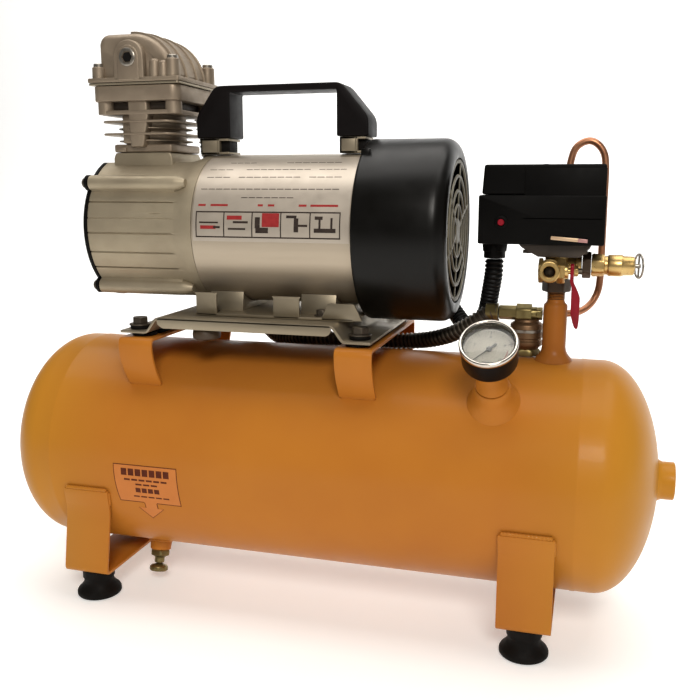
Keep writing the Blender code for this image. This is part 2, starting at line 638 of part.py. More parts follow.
def make_outlet_valve():
    """A small ball valve on the front port; its stem runs along X and its lever hangs closed."""
    middle = (OUTLET_X, STEM_Y, OUTLET_Z)
    body = rod("outlet_valve", 9.0, 21.0, (OUTLET_X - 8.0, STEM_Y, OUTLET_Z), X, "brass", sides=6)
    socket = rod("outlet_socket", 8.4, 12.0, (OUTLET_X, -10.7, OUTLET_Z), -Y, sides=20)
    mouth = rod("outlet_mouth", 7.4, 13.0, (OUTLET_X, STEM_Y + 1.0, OUTLET_Z), -Y, sides=20)
    unite(body, socket, mouth)
    seat = ball("outlet_ball_seat", 6.4, middle)
    stem_hole = rod("outlet_stem_hole", 2.6, 30.0, middle, X, sides=12)
    bore = rod("outlet_bore", 4.6, 30.0, (OUTLET_X, STEM_Y + 4.0, OUTLET_Z), -Y, sides=20)
    cut(body, seat, stem_hole, bore)
    smooth(body)

    valve_ball = ball("valve_ball", 6.0, middle, "chrome")
    unite(valve_ball, rod("valve_stem", 2.2, 22.5, middle, X, sides=12))
    cut(valve_ball, rod("valve_ball_bore", 3.4, 30.0, (OUTLET_X, STEM_Y, OUTLET_Z - 15.0), Z, sides=12))

    paddle = [(14.3, -3.0), (14.3, -7.0), (15.6, -11.0), (15.7, -31.0), (18.0, -39.0), (19.4, -41.5),
              (21.2, -41.5), (21.9, -36.0), (21.9, -19.0), (20.2, -14.5), (16.9, -8.0), (16.9, -3.0)]
    lever = slab("valve_lever", [paddle], 5.0, middle, X, Z, "red_vinyl")
    unite(lever, box("lever_eye_plate", (191.3, STEM_Y - 4.5, OUTLET_Z - 5.5),
                     (193.9, STEM_Y + 4.5, OUTLET_Z + 5.5)))
    cut(lever, rod("lever_eye", 2.5, 40.0, (OUTLET_X + 5.0, STEM_Y, OUTLET_Z), X, sides=12))


def make_safety_valve():
    slab("safety_adaptor", [hexagon(17.0), circle(6.3, 16)], 6.0, (202.1, 0, SAFETY_Z), Y, Z, "steel")
    body = turned("safety_valve",
                  [(5.0, 30.5), (6.8, 30.0), (7.2, 22.0), (7.9, 21.0), (7.9, 12.0), (7.0, 11.0), (7.0, 0.0),
                   (0.0, 0.0), (0.0, 14.0), (2.2, 14.0), (2.2, 30.5)],
                  (205.5, 0, SAFETY_Z), X, "brass", steps=20, ring=True)
    smooth(body)
    stem_start = 221.0
    pull = rod("safety_pull", 1.7, 19.0, (stem_start, 0, SAFETY_Z), X, "steel", sides=10)
    lean = math.radians(18.0)
    loop = turned("safety_loop", [(8.6 + dx, dz) for dx, dz in circle(0.8, 6)][::-1], (238.6, 0, SAFETY_Z),
                  (math.cos(lean), math.sin(lean), 0), steps=18, ring=True)
    bar = rod("safety_bar", 0.8, 17.2, (238.6, 0, SAFETY_Z - 8.6), Z, sides=8)
    unite(pull, loop, bar)


def make_hoses():
    hose = [(-143.5, 41.0, 309.0), (-143.5, 56.0, 308.0), (-143.0, 74.0, 294.0), (-140.0, 84.0, 262.0),
            (-134.0, 86.0, 220.0), (-126.0, 86.0, 170.0), (-112.0, 85.5, 128.0), (-98.0, 83.0, 107.0),
            (-82.0, 75.0, 93.0), (-60.0, 59.0, 83.5), (-30.0, 44.0, 86.5), (10.0, 38.5, 88.6),
            (45.0, 38.5, 88.6), (64.0, 36.5, 90.0), (82.0, 29.0, 93.5), (100.0, 20.0, 100.0),
            (116.0, 13.5, 109.5), (127.0, 10.8, 117.5), (133.0, 10.1, 120.5), (138.1, CHECK_Y, CHECK_Z)]
    tube("discharge_hose", smooth_route(hose, 2), 7.0, "hose_braid")

    conduit = [(84.5, 58.2, 125.0), (91.0, 60.0, 119.5), (99.0, 54.0, 111.0), (107.0, 46.0, 104.0),
               (115.0, 38.5, 102.5), (122.0, 32.0, 107.5), (127.0, 27.5, 119.0), (130.5, 20.0, 136.0),
               (133.0, 13.5, 150.0), (GLAND_X, GLAND_Y, 157.5), (GLAND_X, GLAND_Y, 162.2)]
    tube("motor_conduit", smooth_route(conduit, 2), 7.2, "black_rubber")

    bleed = [(172.0, 12.6, 121.5), (186.0, 15.0, 121.0), (198.0, 22.0, 122.0), (206.0, 29.0, 127.0),
             (211.0, 33.5, 136.0), (212.5, 35.0, 148.0), (212.5, 35.5, 170.0), (212.3, 35.5, 205.0),
             (212.0, 35.5, 232.0), (209.5, 35.5, 243.0), (203.0, 35.5, 249.5), (196.0, 35.5, 249.8),
             (189.5, 35.5, 245.0), (186.5, 35.0, 236.0), (185.3, 34.5, 225.0), (185.2, 34.5, 214.0)]
    tube("bleed_tube", smooth_route(bleed, 2), 2.7, "copper")


# ---------------------------------------------------------------- pressure switch

def make_switch():
    wall = 2.5
    base = box("switch_base", (SWITCH_LEFT, SWITCH_FRONT, SWITCH_BOTTOM),
               (SWITCH_RIGHT, SWITCH_BACK, SWITCH_SPLIT), "black_plastic")
    bevel(base, 1.5, 1)
    inside = box("switch_base_inside", (SWITCH_LEFT + wall, SWITCH_FRONT + wall, SWITCH_BOTTOM + wall),
                 (SWITCH_RIGHT - wall, SWITCH_BACK - wall, SWITCH_TOP))
    unite(base, box("unloader_block", (179.0, SWITCH_BACK - 1.0, 192.0), (191.5, 41.0, 213.5)))
    button_hole = rod("button_hole", 3.9, 10.0, (141.8, SWITCH_FRONT + 5.0, 191.5), -Y, sides=16)
    cut(base, inside, button_hole)

    cover = box("switch_cover", (SWITCH_LEFT + 2.0, SWITCH_FRONT + 1.2, SWITCH_SPLIT + GAP),
                (SWITCH_RIGHT - 1.0, SWITCH_BACK - 1.2, SWITCH_TOP), "black_plastic")
    bevel(cover, 2.2, 2)
    cut(cover, box("switch_cover_inside", (SWITCH_LEFT + 5.0, SWITCH_FRONT + 4.0, SWITCH_SPLIT - 5.0),
                   (SWITCH_RIGHT - 4.0, SWITCH_BACK - 4.0, SWITCH_TOP - wall)))

    button = rod("reset_button", 3.5, 7.0, (141.8, SWITCH_FRONT - 1.8, 191.5), Y, "red_vinyl", sides=16)
    smooth(button)
    contacts = box("contact_block", (150.0, -16.0, SWITCH_BOTTOM + wall + GAP), (196.0, 14.0, 204.0),
                   "dial_white")
    bevel(contacts, 1.0, 1)

    flange = slab("diaphragm_flange", [[(154.0, 175.7), (168.0, 166.6), (196.0, 166.6), (205.0, 175.7)]], 40.0,
                  (0, -1.0, 0), X, Z, "cast_aluminium")
    bevel(flange, 1.0, 1)
    profile = [(5.0, 13.0), (8.0, 13.0), (9.0, 12.0), (9.0, 6.0), (8.2, 5.0), (8.2, 0.0), (5.0, 0.0)]
    gland = turned("conduit_gland", profile, (GLAND_X, GLAND_Y, 162.7), Z, "black_plastic", steps=16,
                   ring=True)
    smooth(gland)


# ---------------------------------------------------------------- gauge and drain

def make_gauge():
    centre = Vector((GAUGE_X, 0, 0))
    depth = GAUGE_FACE - GAUGE_BACK
    case = turned(
        "gauge_case",
        [(17.2, depth - 3.0), (18.9, depth - 3.0), (18.9, 3.0), (16.0, 0.0), (7.0, 0.0),
         (7.0, 106.3 - GAUGE_BACK), (0.0, 106.3 - GAUGE_BACK), (0.0, 3.0), (2.0, 3.0), (17.2, 3.0)],
        centre + GAUGE_AXIS * GAUGE_BACK, GAUGE_AXIS, "black_plastic", steps=24, ring=True,
    )
    smooth(case)
    bezel = turned("gauge_bezel",
                   [(17.4, depth + 0.6), (18.6, depth + 1.2), (19.7, depth + 0.4), (19.7, depth - 2.6),
                    (17.1, depth - 2.6), (17.1, depth - 0.8)],
                   centre + GAUGE_AXIS * GAUGE_BACK, GAUGE_AXIS, "chrome", steps=24, ring=True)
    smooth(bezel)
    rod("gauge_dial", 16.7, 1.2, centre + GAUGE_AXIS * (GAUGE_FACE - 8.5), GAUGE_AXIS, "dial_white", sides=24)
    rod("gauge_lens", 16.8, 1.2, centre + GAUGE_AXIS * (GAUGE_FACE - 2.4), GAUGE_AXIS, "glass", sides=24)
    hub = centre + GAUGE_AXIS * (GAUGE_FACE - 6.4)
    needle = [(-1.1, -5.0), (1.1, -5.0), (0.7, 2.0), (0.25, 13.0), (-0.25, 13.0), (-0.7, 2.0)]
    up = Matrix.Rotation(math.radians(135), 3, GAUGE_AXIS) @ X.cross(GAUGE_AXIS) * -1
    pointer = slab("gauge_pointer", [needle], 0.8, hub, up.cross(GAUGE_AXIS), up, "black_plastic")
    unite(pointer, rod("pointer_hub", 2.2, 1.4, hub - GAUGE_AXIS * 0.6, GAUGE_AXIS, sides=12))


def make_drain():
    start = Vector((DRAIN_X, 0, 0)) + DRAIN_AXIS * (TANK_RADIUS + 9.1)
    valve = turned("drain_valve",
                   [(6.0, 11.0), (6.0, 4.0), (7.6, 4.0), (7.6, 0.0), (0.0, 0.0), (0.0, 1.0), (2.4, 1.0),
                    (2.4, 11.0)],
                   start, DRAIN_AXIS, "brass", steps=16, ring=True)
    smooth(valve)
    screw = rod("drain_screw", 7.8, 6.5, start + DRAIN_AXIS * 12.2, DRAIN_AXIS, "brass", sides=18)
    unite(screw, rod("drain_needle", 2.0, 10.0, start + DRAIN_AXIS * 13.0, -DRAIN_AXIS, sides=12))


make_tank()
make_legs()
make_saddles()
make_tray()
make_crankcase()
make_motor()
make_fan_cap()
make_piston()
make_cylinder()
make_head()
make_handle()
make_check_valve()
make_column()
make_outlet_valve()
make_safety_valve()
make_hoses()
make_switch()
make_gauge()
make_drain()
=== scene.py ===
"""Looks for the airbrush compressor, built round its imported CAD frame.

Lengths in this file are millimetres, measured from the middle of the tank's own axis;
the frame's boxes place that point in the world. X runs along the tank, -Y is the front.
"""
import math

import bmesh
import bpy
from mathutils import Matrix, Vector


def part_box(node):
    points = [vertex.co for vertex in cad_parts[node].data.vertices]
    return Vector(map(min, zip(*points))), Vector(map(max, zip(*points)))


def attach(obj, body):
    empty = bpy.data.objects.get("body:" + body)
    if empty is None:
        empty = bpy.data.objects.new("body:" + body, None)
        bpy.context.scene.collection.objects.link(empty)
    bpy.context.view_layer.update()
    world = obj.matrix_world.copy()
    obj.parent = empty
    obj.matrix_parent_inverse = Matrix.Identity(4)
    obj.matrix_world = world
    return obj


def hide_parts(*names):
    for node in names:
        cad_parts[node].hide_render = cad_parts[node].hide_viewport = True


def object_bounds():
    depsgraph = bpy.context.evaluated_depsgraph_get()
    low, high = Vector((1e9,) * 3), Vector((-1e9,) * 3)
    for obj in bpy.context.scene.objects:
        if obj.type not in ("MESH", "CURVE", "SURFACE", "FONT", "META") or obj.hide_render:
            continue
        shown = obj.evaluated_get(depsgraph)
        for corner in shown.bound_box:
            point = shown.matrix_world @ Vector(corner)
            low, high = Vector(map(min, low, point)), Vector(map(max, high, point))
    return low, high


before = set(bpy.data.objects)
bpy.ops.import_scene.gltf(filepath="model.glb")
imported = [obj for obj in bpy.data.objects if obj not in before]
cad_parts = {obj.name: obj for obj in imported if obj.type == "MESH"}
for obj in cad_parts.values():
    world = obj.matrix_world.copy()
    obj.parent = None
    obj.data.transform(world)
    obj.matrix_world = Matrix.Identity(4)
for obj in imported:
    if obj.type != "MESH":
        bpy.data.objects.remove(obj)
CAD_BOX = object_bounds()

MM = 0.001
X = Vector((1, 0, 0))
Y = Vector((0, 1, 0))
Z = Vector((0, 0, 1))


def tank_centre():
    """The middle of the tank's axis, in the row frame."""
    barrel_low, barrel_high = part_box("tank_barrel")
    head_low, head_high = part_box("tank_head_left")
    middle = (head_low + head_high) / 2
    return Vector(((barrel_low.x + barrel_high.x) / 2, middle.y, middle.z))


CENTRE = tank_centre()


def near(node):
    """A node's lowest and highest corner, in millimetres from the tank's centre."""
    low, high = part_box(node)
    return (low - CENTRE) / MM, (high - CENTRE) / MM


# ---------------------------------------------------------------- shapes

def arc(radius, start, end, steps, centre=(0.0, 0.0)):
    angles = [math.radians(start + (end - start) * i / steps) for i in range(steps + 1)]
    return [(centre[0] + radius * math.cos(a), centre[1] + radius * math.sin(a)) for a in angles]


def rounded(path, radius, steps=4, closed=False):
    """A 2D path with each corner replaced by a short curve."""
    points = [Vector(p) for p in path]
    count = len(points)
    result = []
    for i, here in enumerate(points):
        if not closed and i in (0, count - 1):
            result.append(tuple(here))
            continue
        before, after = points[i - 1], points[(i + 1) % count]
        back = min(radius, (before - here).length * 0.49)
        ahead = min(radius, (after - here).length * 0.49)
        start = here + (before - here).normalized() * back
        end = here + (after - here).normalized() * ahead
        for k in range(steps + 1):
            t = k / steps
            result.append(tuple(start * (1 - t) ** 2 + here * 2 * t * (1 - t) + end * t * t))
    return result


def mirrored(path):
    """The same path on the other side, walked back."""
    return [(-across, up) for across, up in reversed(path)]


def smooth_route(points, per_span):
    """Points along a Catmull-Rom curve through the route's own points."""
    points = [Vector(p) for p in points]
    padded = [2 * points[0] - points[1], *points, 2 * points[-1] - points[-2]]
    route = []
    for a, b, c, d in zip(padded, padded[1:], padded[2:], padded[3:]):
        for step in range(per_span):
            t = step / per_span
            route.append(
                0.5 * (2 * b + (c - a) * t + (2 * a - 5 * b + 4 * c - d) * t * t
                       + (3 * b - a - 3 * c + d) * t * t * t)
            )
    return route + [points[-1]]


def basis(axis):
    """Two directions square to an axis, and the axis."""
    axis = Vector(axis).normalized()
    turn = Z.rotation_difference(axis)
    return turn @ X, turn @ Y, axis


def polygon_radius(flat, sides, angle):
    """Distance to the side of a regular polygon of that inner radius."""
    wedge = 2 * math.pi / sides
    return flat / math.cos((angle % wedge) - wedge / 2)


def skin(body, rows):
    """Closes rows of vertices into one body: a face at each end and quads between the rows."""
    body.faces.new(rows[0])
    body.faces.new(rows[-1])
    count = len(rows[0])
    for first, second in zip(rows, rows[1:]):
        for i in range(count):
            j = (i + 1) % count
            body.faces.new((first[i], first[j], second[j], second[i]))


class Shape:
    """Collects closed bodies into one mesh."""

    def __init__(self):
        self.mesh = bmesh.new()

    def take(self, body, edge=0.0, segments=2):
        """Adds one body, with its sharp edges rounded to a width."""
        bmesh.ops.recalc_face_normals(body, faces=body.faces)
        if edge:
            sharp = [e for e in body.edges if e.is_manifold and e.calc_face_angle(0) > math.radians(38)]
            bmesh.ops.bevel(body, geom=sharp, offset=edge, offset_type="OFFSET", segments=segments,
                            profile=0.5, affect="EDGES", clamp_overlap=True)
        data = bpy.data.meshes.new("body")
        body.to_mesh(data)
        body.free()
        self.mesh.from_mesh(data)
        bpy.data.meshes.remove(data)
        return self

    def box(self, low, high, edge=0.0, segments=2, turn=None):
        body = bmesh.new()
        low, high = Vector(low), Vector(high)
        bmesh.ops.create_cube(body, size=1.0)
        place = Matrix.Translation((low + high) / 2)
        if turn is not None:
            place = place @ turn
        bmesh.ops.transform(body, matrix=place @ Matrix.Diagonal((*(high - low), 1)), verts=body.verts)
        return self.take(body, edge, segments)

    def turned(self, profile, start, axis, steps=48, ring=False, edge=0.0):
        """Spins (radius, height) points; a third value makes a polygon, a fourth caps its corners."""
        across, up, axis = basis(axis)
        start = Vector(start)
        body = bmesh.new()
        rows = []
        for point in profile:
            radius, height = point[0], point[1]
            middle = start + axis * height
            if radius < 1e-6:
                rows.append([body.verts.new(middle)])
                continue
            row = []
            for i in range(steps):
                angle = 2 * math.pi * i / steps
                distance = radius
                if len(point) > 2:
                    distance = polygon_radius(radius, point[2], angle)
                if len(point) > 3:
                    distance = min(distance, point[3])
                out = across * math.cos(angle) + up * math.sin(angle)
                row.append(body.verts.new(middle + out * distance))
            rows.append(row)
        pairs = list(zip(rows, rows[1:]))
        if ring:
            pairs.append((rows[-1], rows[0]))
        for first, second in pairs:
            for i in range(steps):
                j = (i + 1) % steps
                if len(first) == 1 and len(second) > 1:
                    body.faces.new((first[0], second[i], second[j]))
                elif len(second) == 1 and len(first) > 1:
                    body.faces.new((first[i], first[j], second[0]))
                elif len(first) > 1:
                    body.faces.new((first[i], first[j], second[j], second[i]))
        if not ring:
            for row in (rows[0], rows[-1]):
                if len(row) > 1:
                    body.faces.new(row)
        return self.take(body, edge)

    def rod(self, start, axis, radius, length, steps):
        return self.turned([(radius, 0.0), (radius, length)], start, axis, steps)

    def slab(self, outline, middle, across, up, thickness, edge=0.0, segments=2):
        """A flat outline of (across, up) points, as thick each way from its middle."""
        body = bmesh.new()
        normal = across.cross(up)
        layers = []
        for side in (-0.5, 0.5):
            layers.append([
                body.verts.new(Vector(middle) + across * a + up * u + normal * thickness * side)
                for a, u in outline
            ])
        skin(body, layers)
        return self.take(body, edge, segments)

    def strip(self, path, low, high, thickness, along="X", edge=0.0):
        """A bent sheet: a path of (across, up) points, as wide as low to high along X or Y."""
        points = [Vector(p) for p in path]
        outer, inner = [], []
        for i, here in enumerate(points):
            before = points[max(i - 1, 0)]
            after = points[min(i + 1, len(points) - 1)]
            ahead, behind = (after - here), (here - before)
            ahead = ahead.normalized() if ahead.length else behind.normalized()
            behind = behind.normalized() if behind.length else ahead
            middle = (ahead + behind).normalized()
            normal = Vector((-middle.y, middle.x))
            stretch = 1.0 / max(0.4, middle.dot(ahead))
            outer.append(tuple(here + normal * thickness / 2 * stretch))
            inner.append(tuple(here - normal * thickness / 2 * stretch))
        outline = outer + inner[::-1]
        middle = (low + high) / 2
        if along == "X":
            return self.slab(outline, (middle, 0, 0), Y, Z, high - low, edge)
        return self.slab(outline, (0, middle, 0), X, Z, high - low, edge)

    def tube(self, points, radius, sides, closed=False):
        """A round tube along a path. The radius is one number or one for each point."""
        points = [Vector(p) for p in points]
        count = len(points)
        radii = radius if isinstance(radius, list) else [radius] * count
        body = bmesh.new()
        ahead = (points[1] - points[0]).normalized()
        side = basis(ahead)[0]
        rows = []
        for i, here in enumerate(points):
            before = points[i - 1] if (i or closed) else here
            after = points[(i + 1) % count] if (i < count - 1 or closed) else here
            ahead = (after - before).normalized()
            side = (side - ahead * side.dot(ahead)).normalized()
            other = ahead.cross(side)
            rows.append([
                body.verts.new(here + (side * math.cos(a) + other * math.sin(a)) * radii[i])
                for a in (2 * math.pi * k / sides for k in range(sides))
            ])
        pairs = list(zip(rows, rows[1:]))
        if closed:
            pairs.append((rows[-1], rows[0]))
        for first, second in pairs:
            offset = 0
            if closed and second is rows[0]:
                offset = min(range(sides), key=lambda k: (second[k].co - first[0].co).length)
            for i in range(sides):
                j = (i + 1) % sides
                body.faces.new((first[i], first[j], second[(j + offset) % sides],
                                second[(i + offset) % sides]))
        if not closed:
            body.faces.new(rows[0])
            body.faces.new(rows[-1])
        return self.take(body)

    def hex_bolt(self, seat, axis, across_flats, height, washer=0.0, hollow=False):
        """A bolt head, or a socket screw's head when hollow, standing on its seat."""
        half = across_flats / 2
        seat, axis = Vector(seat), Vector(axis).normalized()
        if washer:
            self.turned([(0, 0), (washer, 0), (washer, 0.9), (0, 0.9)], seat, axis, 32, edge=0.2)
            seat = seat + axis * 0.9
        if hollow:
            key = half * 0.48
            self.turned([(0, 0), (half, 0), (half, height - 0.5), (half - 0.5, height),
                         (key + 0.3, height, 6), (key, height - 0.3, 6), (key, height * 0.35, 6),
                         (0, height * 0.35)], seat, axis, 36)
            return self
        corner = half / math.cos(math.pi / 6)
        return self.turned([(0, 0), (half, 0, 6, corner * 0.98), (half, 0.3, 6), (half, height - 0.7, 6),
                            (half, height, 6, half * 0.97), (0, height)], seat, axis, 36)


SHARP_DEGREES = 40.0  # edges that turn by more than this aren't shaded smooth


def add_object(name, data):
    obj = bpy.data.objects.new(name, data)
    bpy.context.scene.collection.objects.link(obj)
    return obj


def piece(name, shape, finish, body="compressor", slot=None, nodes=()):
    """Turns a shape into an object that rides on a body and may stand for CAD nodes."""
    place = Matrix.Translation(CENTRE) @ Matrix.Scale(MM, 4)
    bmesh.ops.transform(shape.mesh, matrix=place, verts=shape.mesh.verts)
    data = bpy.data.meshes.new(name)
    shape.mesh.to_mesh(data)
    shape.mesh.free()
    data.shade_smooth()
    data.set_sharp_from_angle(angle=math.radians(SHARP_DEGREES))
    obj = add_object(name, data)
    data.materials.append(M[finish])
    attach(obj, body)
    if nodes:
        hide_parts(*nodes)


def stand_in(node, shape, finish, **settings):
    """A piece that takes the place of one CAD node and is named after it."""
    piece(f"{node}_visual", shape, finish, nodes=(node,), **settings)


# ---------------------------------------------------------------- materials

class Nodes:
    """A small builder for one material's node tree."""

    def __init__(self, name):
        self.material = bpy.data.materials.new(name)
        self.material.use_nodes = True
        self.tree = self.material.node_tree
        self.shader = self.tree.nodes["Principled BSDF"]
        self.place = self.new("ShaderNodeTexCoord").outputs["Object"]

    def new(self, kind, **settings):
        node = self.tree.nodes.new(kind)
        for key, value in settings.items():
            setattr(node, key, value)
        return node

    def link(self, output, target):
        self.tree.links.new(output, target)

    def noise(self, per_metre, detail=3.0, stretch=(1.0, 1.0, 1.0)):
        mapping = self.new("ShaderNodeMapping")
        mapping.inputs["Scale"].default_value = stretch
        self.link(self.place, mapping.inputs["Vector"])
        noise = self.new("ShaderNodeTexNoise")
        noise.inputs["Scale"].default_value = per_metre
        noise.inputs["Detail"].default_value = detail
        self.link(mapping.outputs["Vector"], noise.inputs["Vector"])
        return noise.outputs["Fac"]

    def spread(self, value, low, high, from_low=0.3, from_high=0.7):
        node = self.new("ShaderNodeMapRange")
        node.inputs["From Min"].default_value = from_low
        node.inputs["From Max"].default_value = from_high
        node.inputs["To Min"].default_value = low
        node.inputs["To Max"].default_value = high
        self.link(value, node.inputs["Value"])
        return node.outputs["Result"]

    def mix(self, factor, first, second):
        node = self.new("ShaderNodeMix", data_type="RGBA")
        self.link(factor, node.inputs["Factor"])
        for socket, colour in ((node.inputs[6], first), (node.inputs[7], second)):
            if hasattr(colour, "links"):
                self.link(colour, socket)
            else:
                socket.default_value = (*colour, 1.0)
        return node.outputs[2]

    def bump(self, height, strength, distance):
        node = self.new("ShaderNodeBump")
        node.inputs["Strength"].default_value = strength
        node.inputs["Distance"].default_value = distance
        self.link(height, node.inputs["Height"])
        return node.outputs["Normal"]

    def colour(self, output):
        self.link(output, self.shader.inputs["Base Color"])

    def roughness(self, output):
        self.link(output, self.shader.inputs["Roughness"])

    def normal(self, output):
        self.link(output, self.shader.inputs["Normal"])


def surface(name, colour, other, roughness, metallic=0.0, mottle=60.0, grain=2000.0, relief=0.03,
            depth=0.0002, stretch=(1.0, 1.0, 1.0), specular=0.5):
    """A finish whose colour drifts between two tones, with fine relief and uneven gloss.

    Mottle and grain are the noise's cells per metre, for the colour and for the relief.
    """
    nodes = Nodes(name)
    shader = nodes.shader
    shader.inputs["Metallic"].default_value = metallic
    shader.inputs["Specular IOR Level"].default_value = specular
    drift = nodes.noise(mottle, 4.0, stretch)
    nodes.colour(nodes.mix(nodes.spread(drift, 0.0, 1.0), colour, other))
    fine = nodes.noise(grain, 3.0, stretch)
    nodes.roughness(nodes.spread(nodes.noise(mottle * 3, 3.0, stretch), roughness[0], roughness[1]))
    nodes.normal(nodes.bump(fine, relief, depth))
    return nodes.material


def make_surfaces():
    """Each plain finish: two colours, the range of roughness, how metallic it is, and its texture."""
    along_x = (0.04, 1.0, 1.0)
    return [
        surface("silver_paint", (0.46, 0.39, 0.30), (0.41, 0.345, 0.265), (0.34, 0.44), 0.75, grain=1500.0,
                relief=0.04, stretch=along_x),
        surface("cast_aluminium", (0.30, 0.24, 0.175), (0.24, 0.187, 0.135), (0.42, 0.58), 0.6, mottle=45.0,
                grain=1700.0, relief=0.35, depth=0.0003),
        surface("case_casting", (0.37, 0.312, 0.218), (0.31, 0.258, 0.180), (0.42, 0.58), 0.55, mottle=30.0,
                grain=1700.0, relief=0.30, depth=0.0003),
        surface("cast_dark", (0.05, 0.036, 0.026), (0.03, 0.022, 0.016), (0.45, 0.6), 0.4, mottle=45.0,
                grain=1700.0, relief=0.3, depth=0.0003),
        surface("sheet_steel", (0.33, 0.28, 0.20), (0.24, 0.20, 0.14), (0.36, 0.52), 0.75, mottle=30.0,
                grain=900.0, relief=0.06, stretch=(0.2, 1.0, 1.0)),
        surface("steel", (0.34, 0.31, 0.27), (0.26, 0.235, 0.20), (0.26, 0.40), 0.9, mottle=120.0,
                grain=2200.0, relief=0.06),
        surface("dark_steel", (0.085, 0.068, 0.050), (0.055, 0.044, 0.032), (0.34, 0.48), 0.7, mottle=120.0,
                grain=2200.0, relief=0.08),
        surface("bezel_steel", (0.60, 0.56, 0.50), (0.50, 0.46, 0.41), (0.14, 0.22), 1.0, grain=1200.0,
                relief=0.02),
        surface("brass", (0.60, 0.42, 0.17), (0.50, 0.33, 0.12), (0.26, 0.38), 0.9, mottle=90.0,
                grain=2400.0, relief=0.05),
        surface("olive_brass", (0.24, 0.19, 0.075), (0.17, 0.13, 0.05), (0.32, 0.44), 0.8, mottle=90.0,
                grain=2200.0, relief=0.08),
        surface("bronze", (0.20, 0.115, 0.058), (0.14, 0.078, 0.038), (0.36, 0.5), 0.75, mottle=90.0,
                relief=0.15),
        surface("bronze_dark", (0.060, 0.036, 0.020), (0.040, 0.024, 0.013), (0.36, 0.50), 0.5, mottle=90.0,
                relief=0.12),
        surface("copper", (0.46, 0.215, 0.115), (0.36, 0.155, 0.08), (0.28, 0.42), 0.8, mottle=70.0,
                relief=0.06),
        surface("fan_black", (0.0026, 0.0022, 0.0016), (0.0019, 0.0016, 0.0012), (0.30, 0.38), mottle=30.0,
                grain=1400.0, relief=0.07, specular=0.20),
        surface("black_plastic", (0.0042, 0.0038, 0.0034), (0.003, 0.0027, 0.0025), (0.42, 0.55),
                mottle=50.0, grain=2600.0, relief=0.22, specular=0.08),
        surface("black_rubber", (0.006, 0.0048, 0.004), (0.004, 0.0034, 0.003), (0.55, 0.75), grain=1800.0,
                relief=0.25, specular=0.12),
        surface("hose_braid", (0.055, 0.045, 0.032), (0.032, 0.026, 0.018), (0.4, 0.55), 0.6, mottle=150.0,
                grain=2500.0, relief=0.2),
        surface("red_vinyl", (0.27, 0.006, 0.016), (0.21, 0.004, 0.012), (0.34, 0.46), grain=700.0,
                relief=0.08, specular=0.2),
        surface("dial_white", (0.52, 0.47, 0.39), (0.47, 0.42, 0.35), (0.45, 0.6), grain=900.0),
        surface("dial_ink", (0.09, 0.08, 0.065), (0.06, 0.052, 0.042), (0.45, 0.6), mottle=300.0),
        surface("label_film", (0.52, 0.455, 0.38), (0.47, 0.41, 0.34), (0.36, 0.46), 0.55, mottle=40.0,
                grain=1500.0),
        surface("label_ink", (0.022, 0.015, 0.013), (0.04, 0.028, 0.022), (0.45, 0.6), mottle=300.0,
                specular=0.15),
        surface("label_red", (0.32, 0.026, 0.026), (0.24, 0.018, 0.018), (0.4, 0.55), mottle=300.0,
                specular=0.2),
        surface("panel_orange", (0.56, 0.185, 0.036), (0.50, 0.16, 0.03), (0.34, 0.42), grain=900.0,
                specular=0.2),
        surface("panel_ink", (0.075, 0.016, 0.006), (0.11, 0.024, 0.009), (0.45, 0.6), mottle=300.0,
                specular=0.1),
        surface("lamination", (0.20, 0.20, 0.20), (0.15, 0.15, 0.15), (0.4, 0.5), 0.8, grain=1500.0,
                relief=0.2, stretch=(20.0, 1.0, 1.0)),
        surface("rubber_brown", (0.055, 0.032, 0.015), (0.038, 0.022, 0.010), (0.45, 0.6), grain=1600.0,
                relief=0.2),
        surface("grille", (0.15, 0.132, 0.085), (0.10, 0.088, 0.058), (0.44, 0.58), 0.2, grain=1400.0,
                relief=0.12),
        surface("handle_black", (0.006, 0.0045, 0.0045), (0.004, 0.003, 0.003), (0.40, 0.52), mottle=40.0,
                grain=1500.0, relief=0.16, specular=0.10),
        surface("switch_black", (0.0032, 0.0029, 0.0026), (0.0022, 0.002, 0.0018), (0.42, 0.54),
                mottle=50.0, grain=2600.0, relief=0.14, specular=0.06),
        surface("conduit_black", (0.005, 0.005, 0.005), (0.0035, 0.0035, 0.0035), (0.38, 0.5), mottle=50.0,
                grain=1500.0, relief=0.06, specular=0.14),
        surface("gauge_black", (0.004, 0.0036, 0.0036), (0.003, 0.0027, 0.0027), (0.30, 0.40), mottle=40.0,
                grain=1500.0, relief=0.04, specular=0.06),
        # A darker, browner copy of the tank paint, for the column pipe: painted shade.
        surface("column_shaded_paint", (0.355, 0.122, 0.020), (0.315, 0.106, 0.018), (0.30, 0.40), mottle=30.0,
                grain=900.0, relief=0.04, specular=0.14),
        surface("guard_wire", (0.13, 0.11, 0.085), (0.09, 0.075, 0.058), (0.3, 0.42), 0.8, grain=1500.0,
                relief=0.05),
        # Pale brass and rose tints for the painted highlight and reflection on the switch base's lower edge.
        surface("reflection_brass", (0.66, 0.47, 0.30), (0.56, 0.38, 0.23), (0.3, 0.4), 0.4, mottle=90.0,
                relief=0.04),
        surface("reflection_rose", (0.50, 0.27, 0.25), (0.42, 0.21, 0.20), (0.3, 0.4), 0.3, mottle=90.0,
                relief=0.04),
    ]


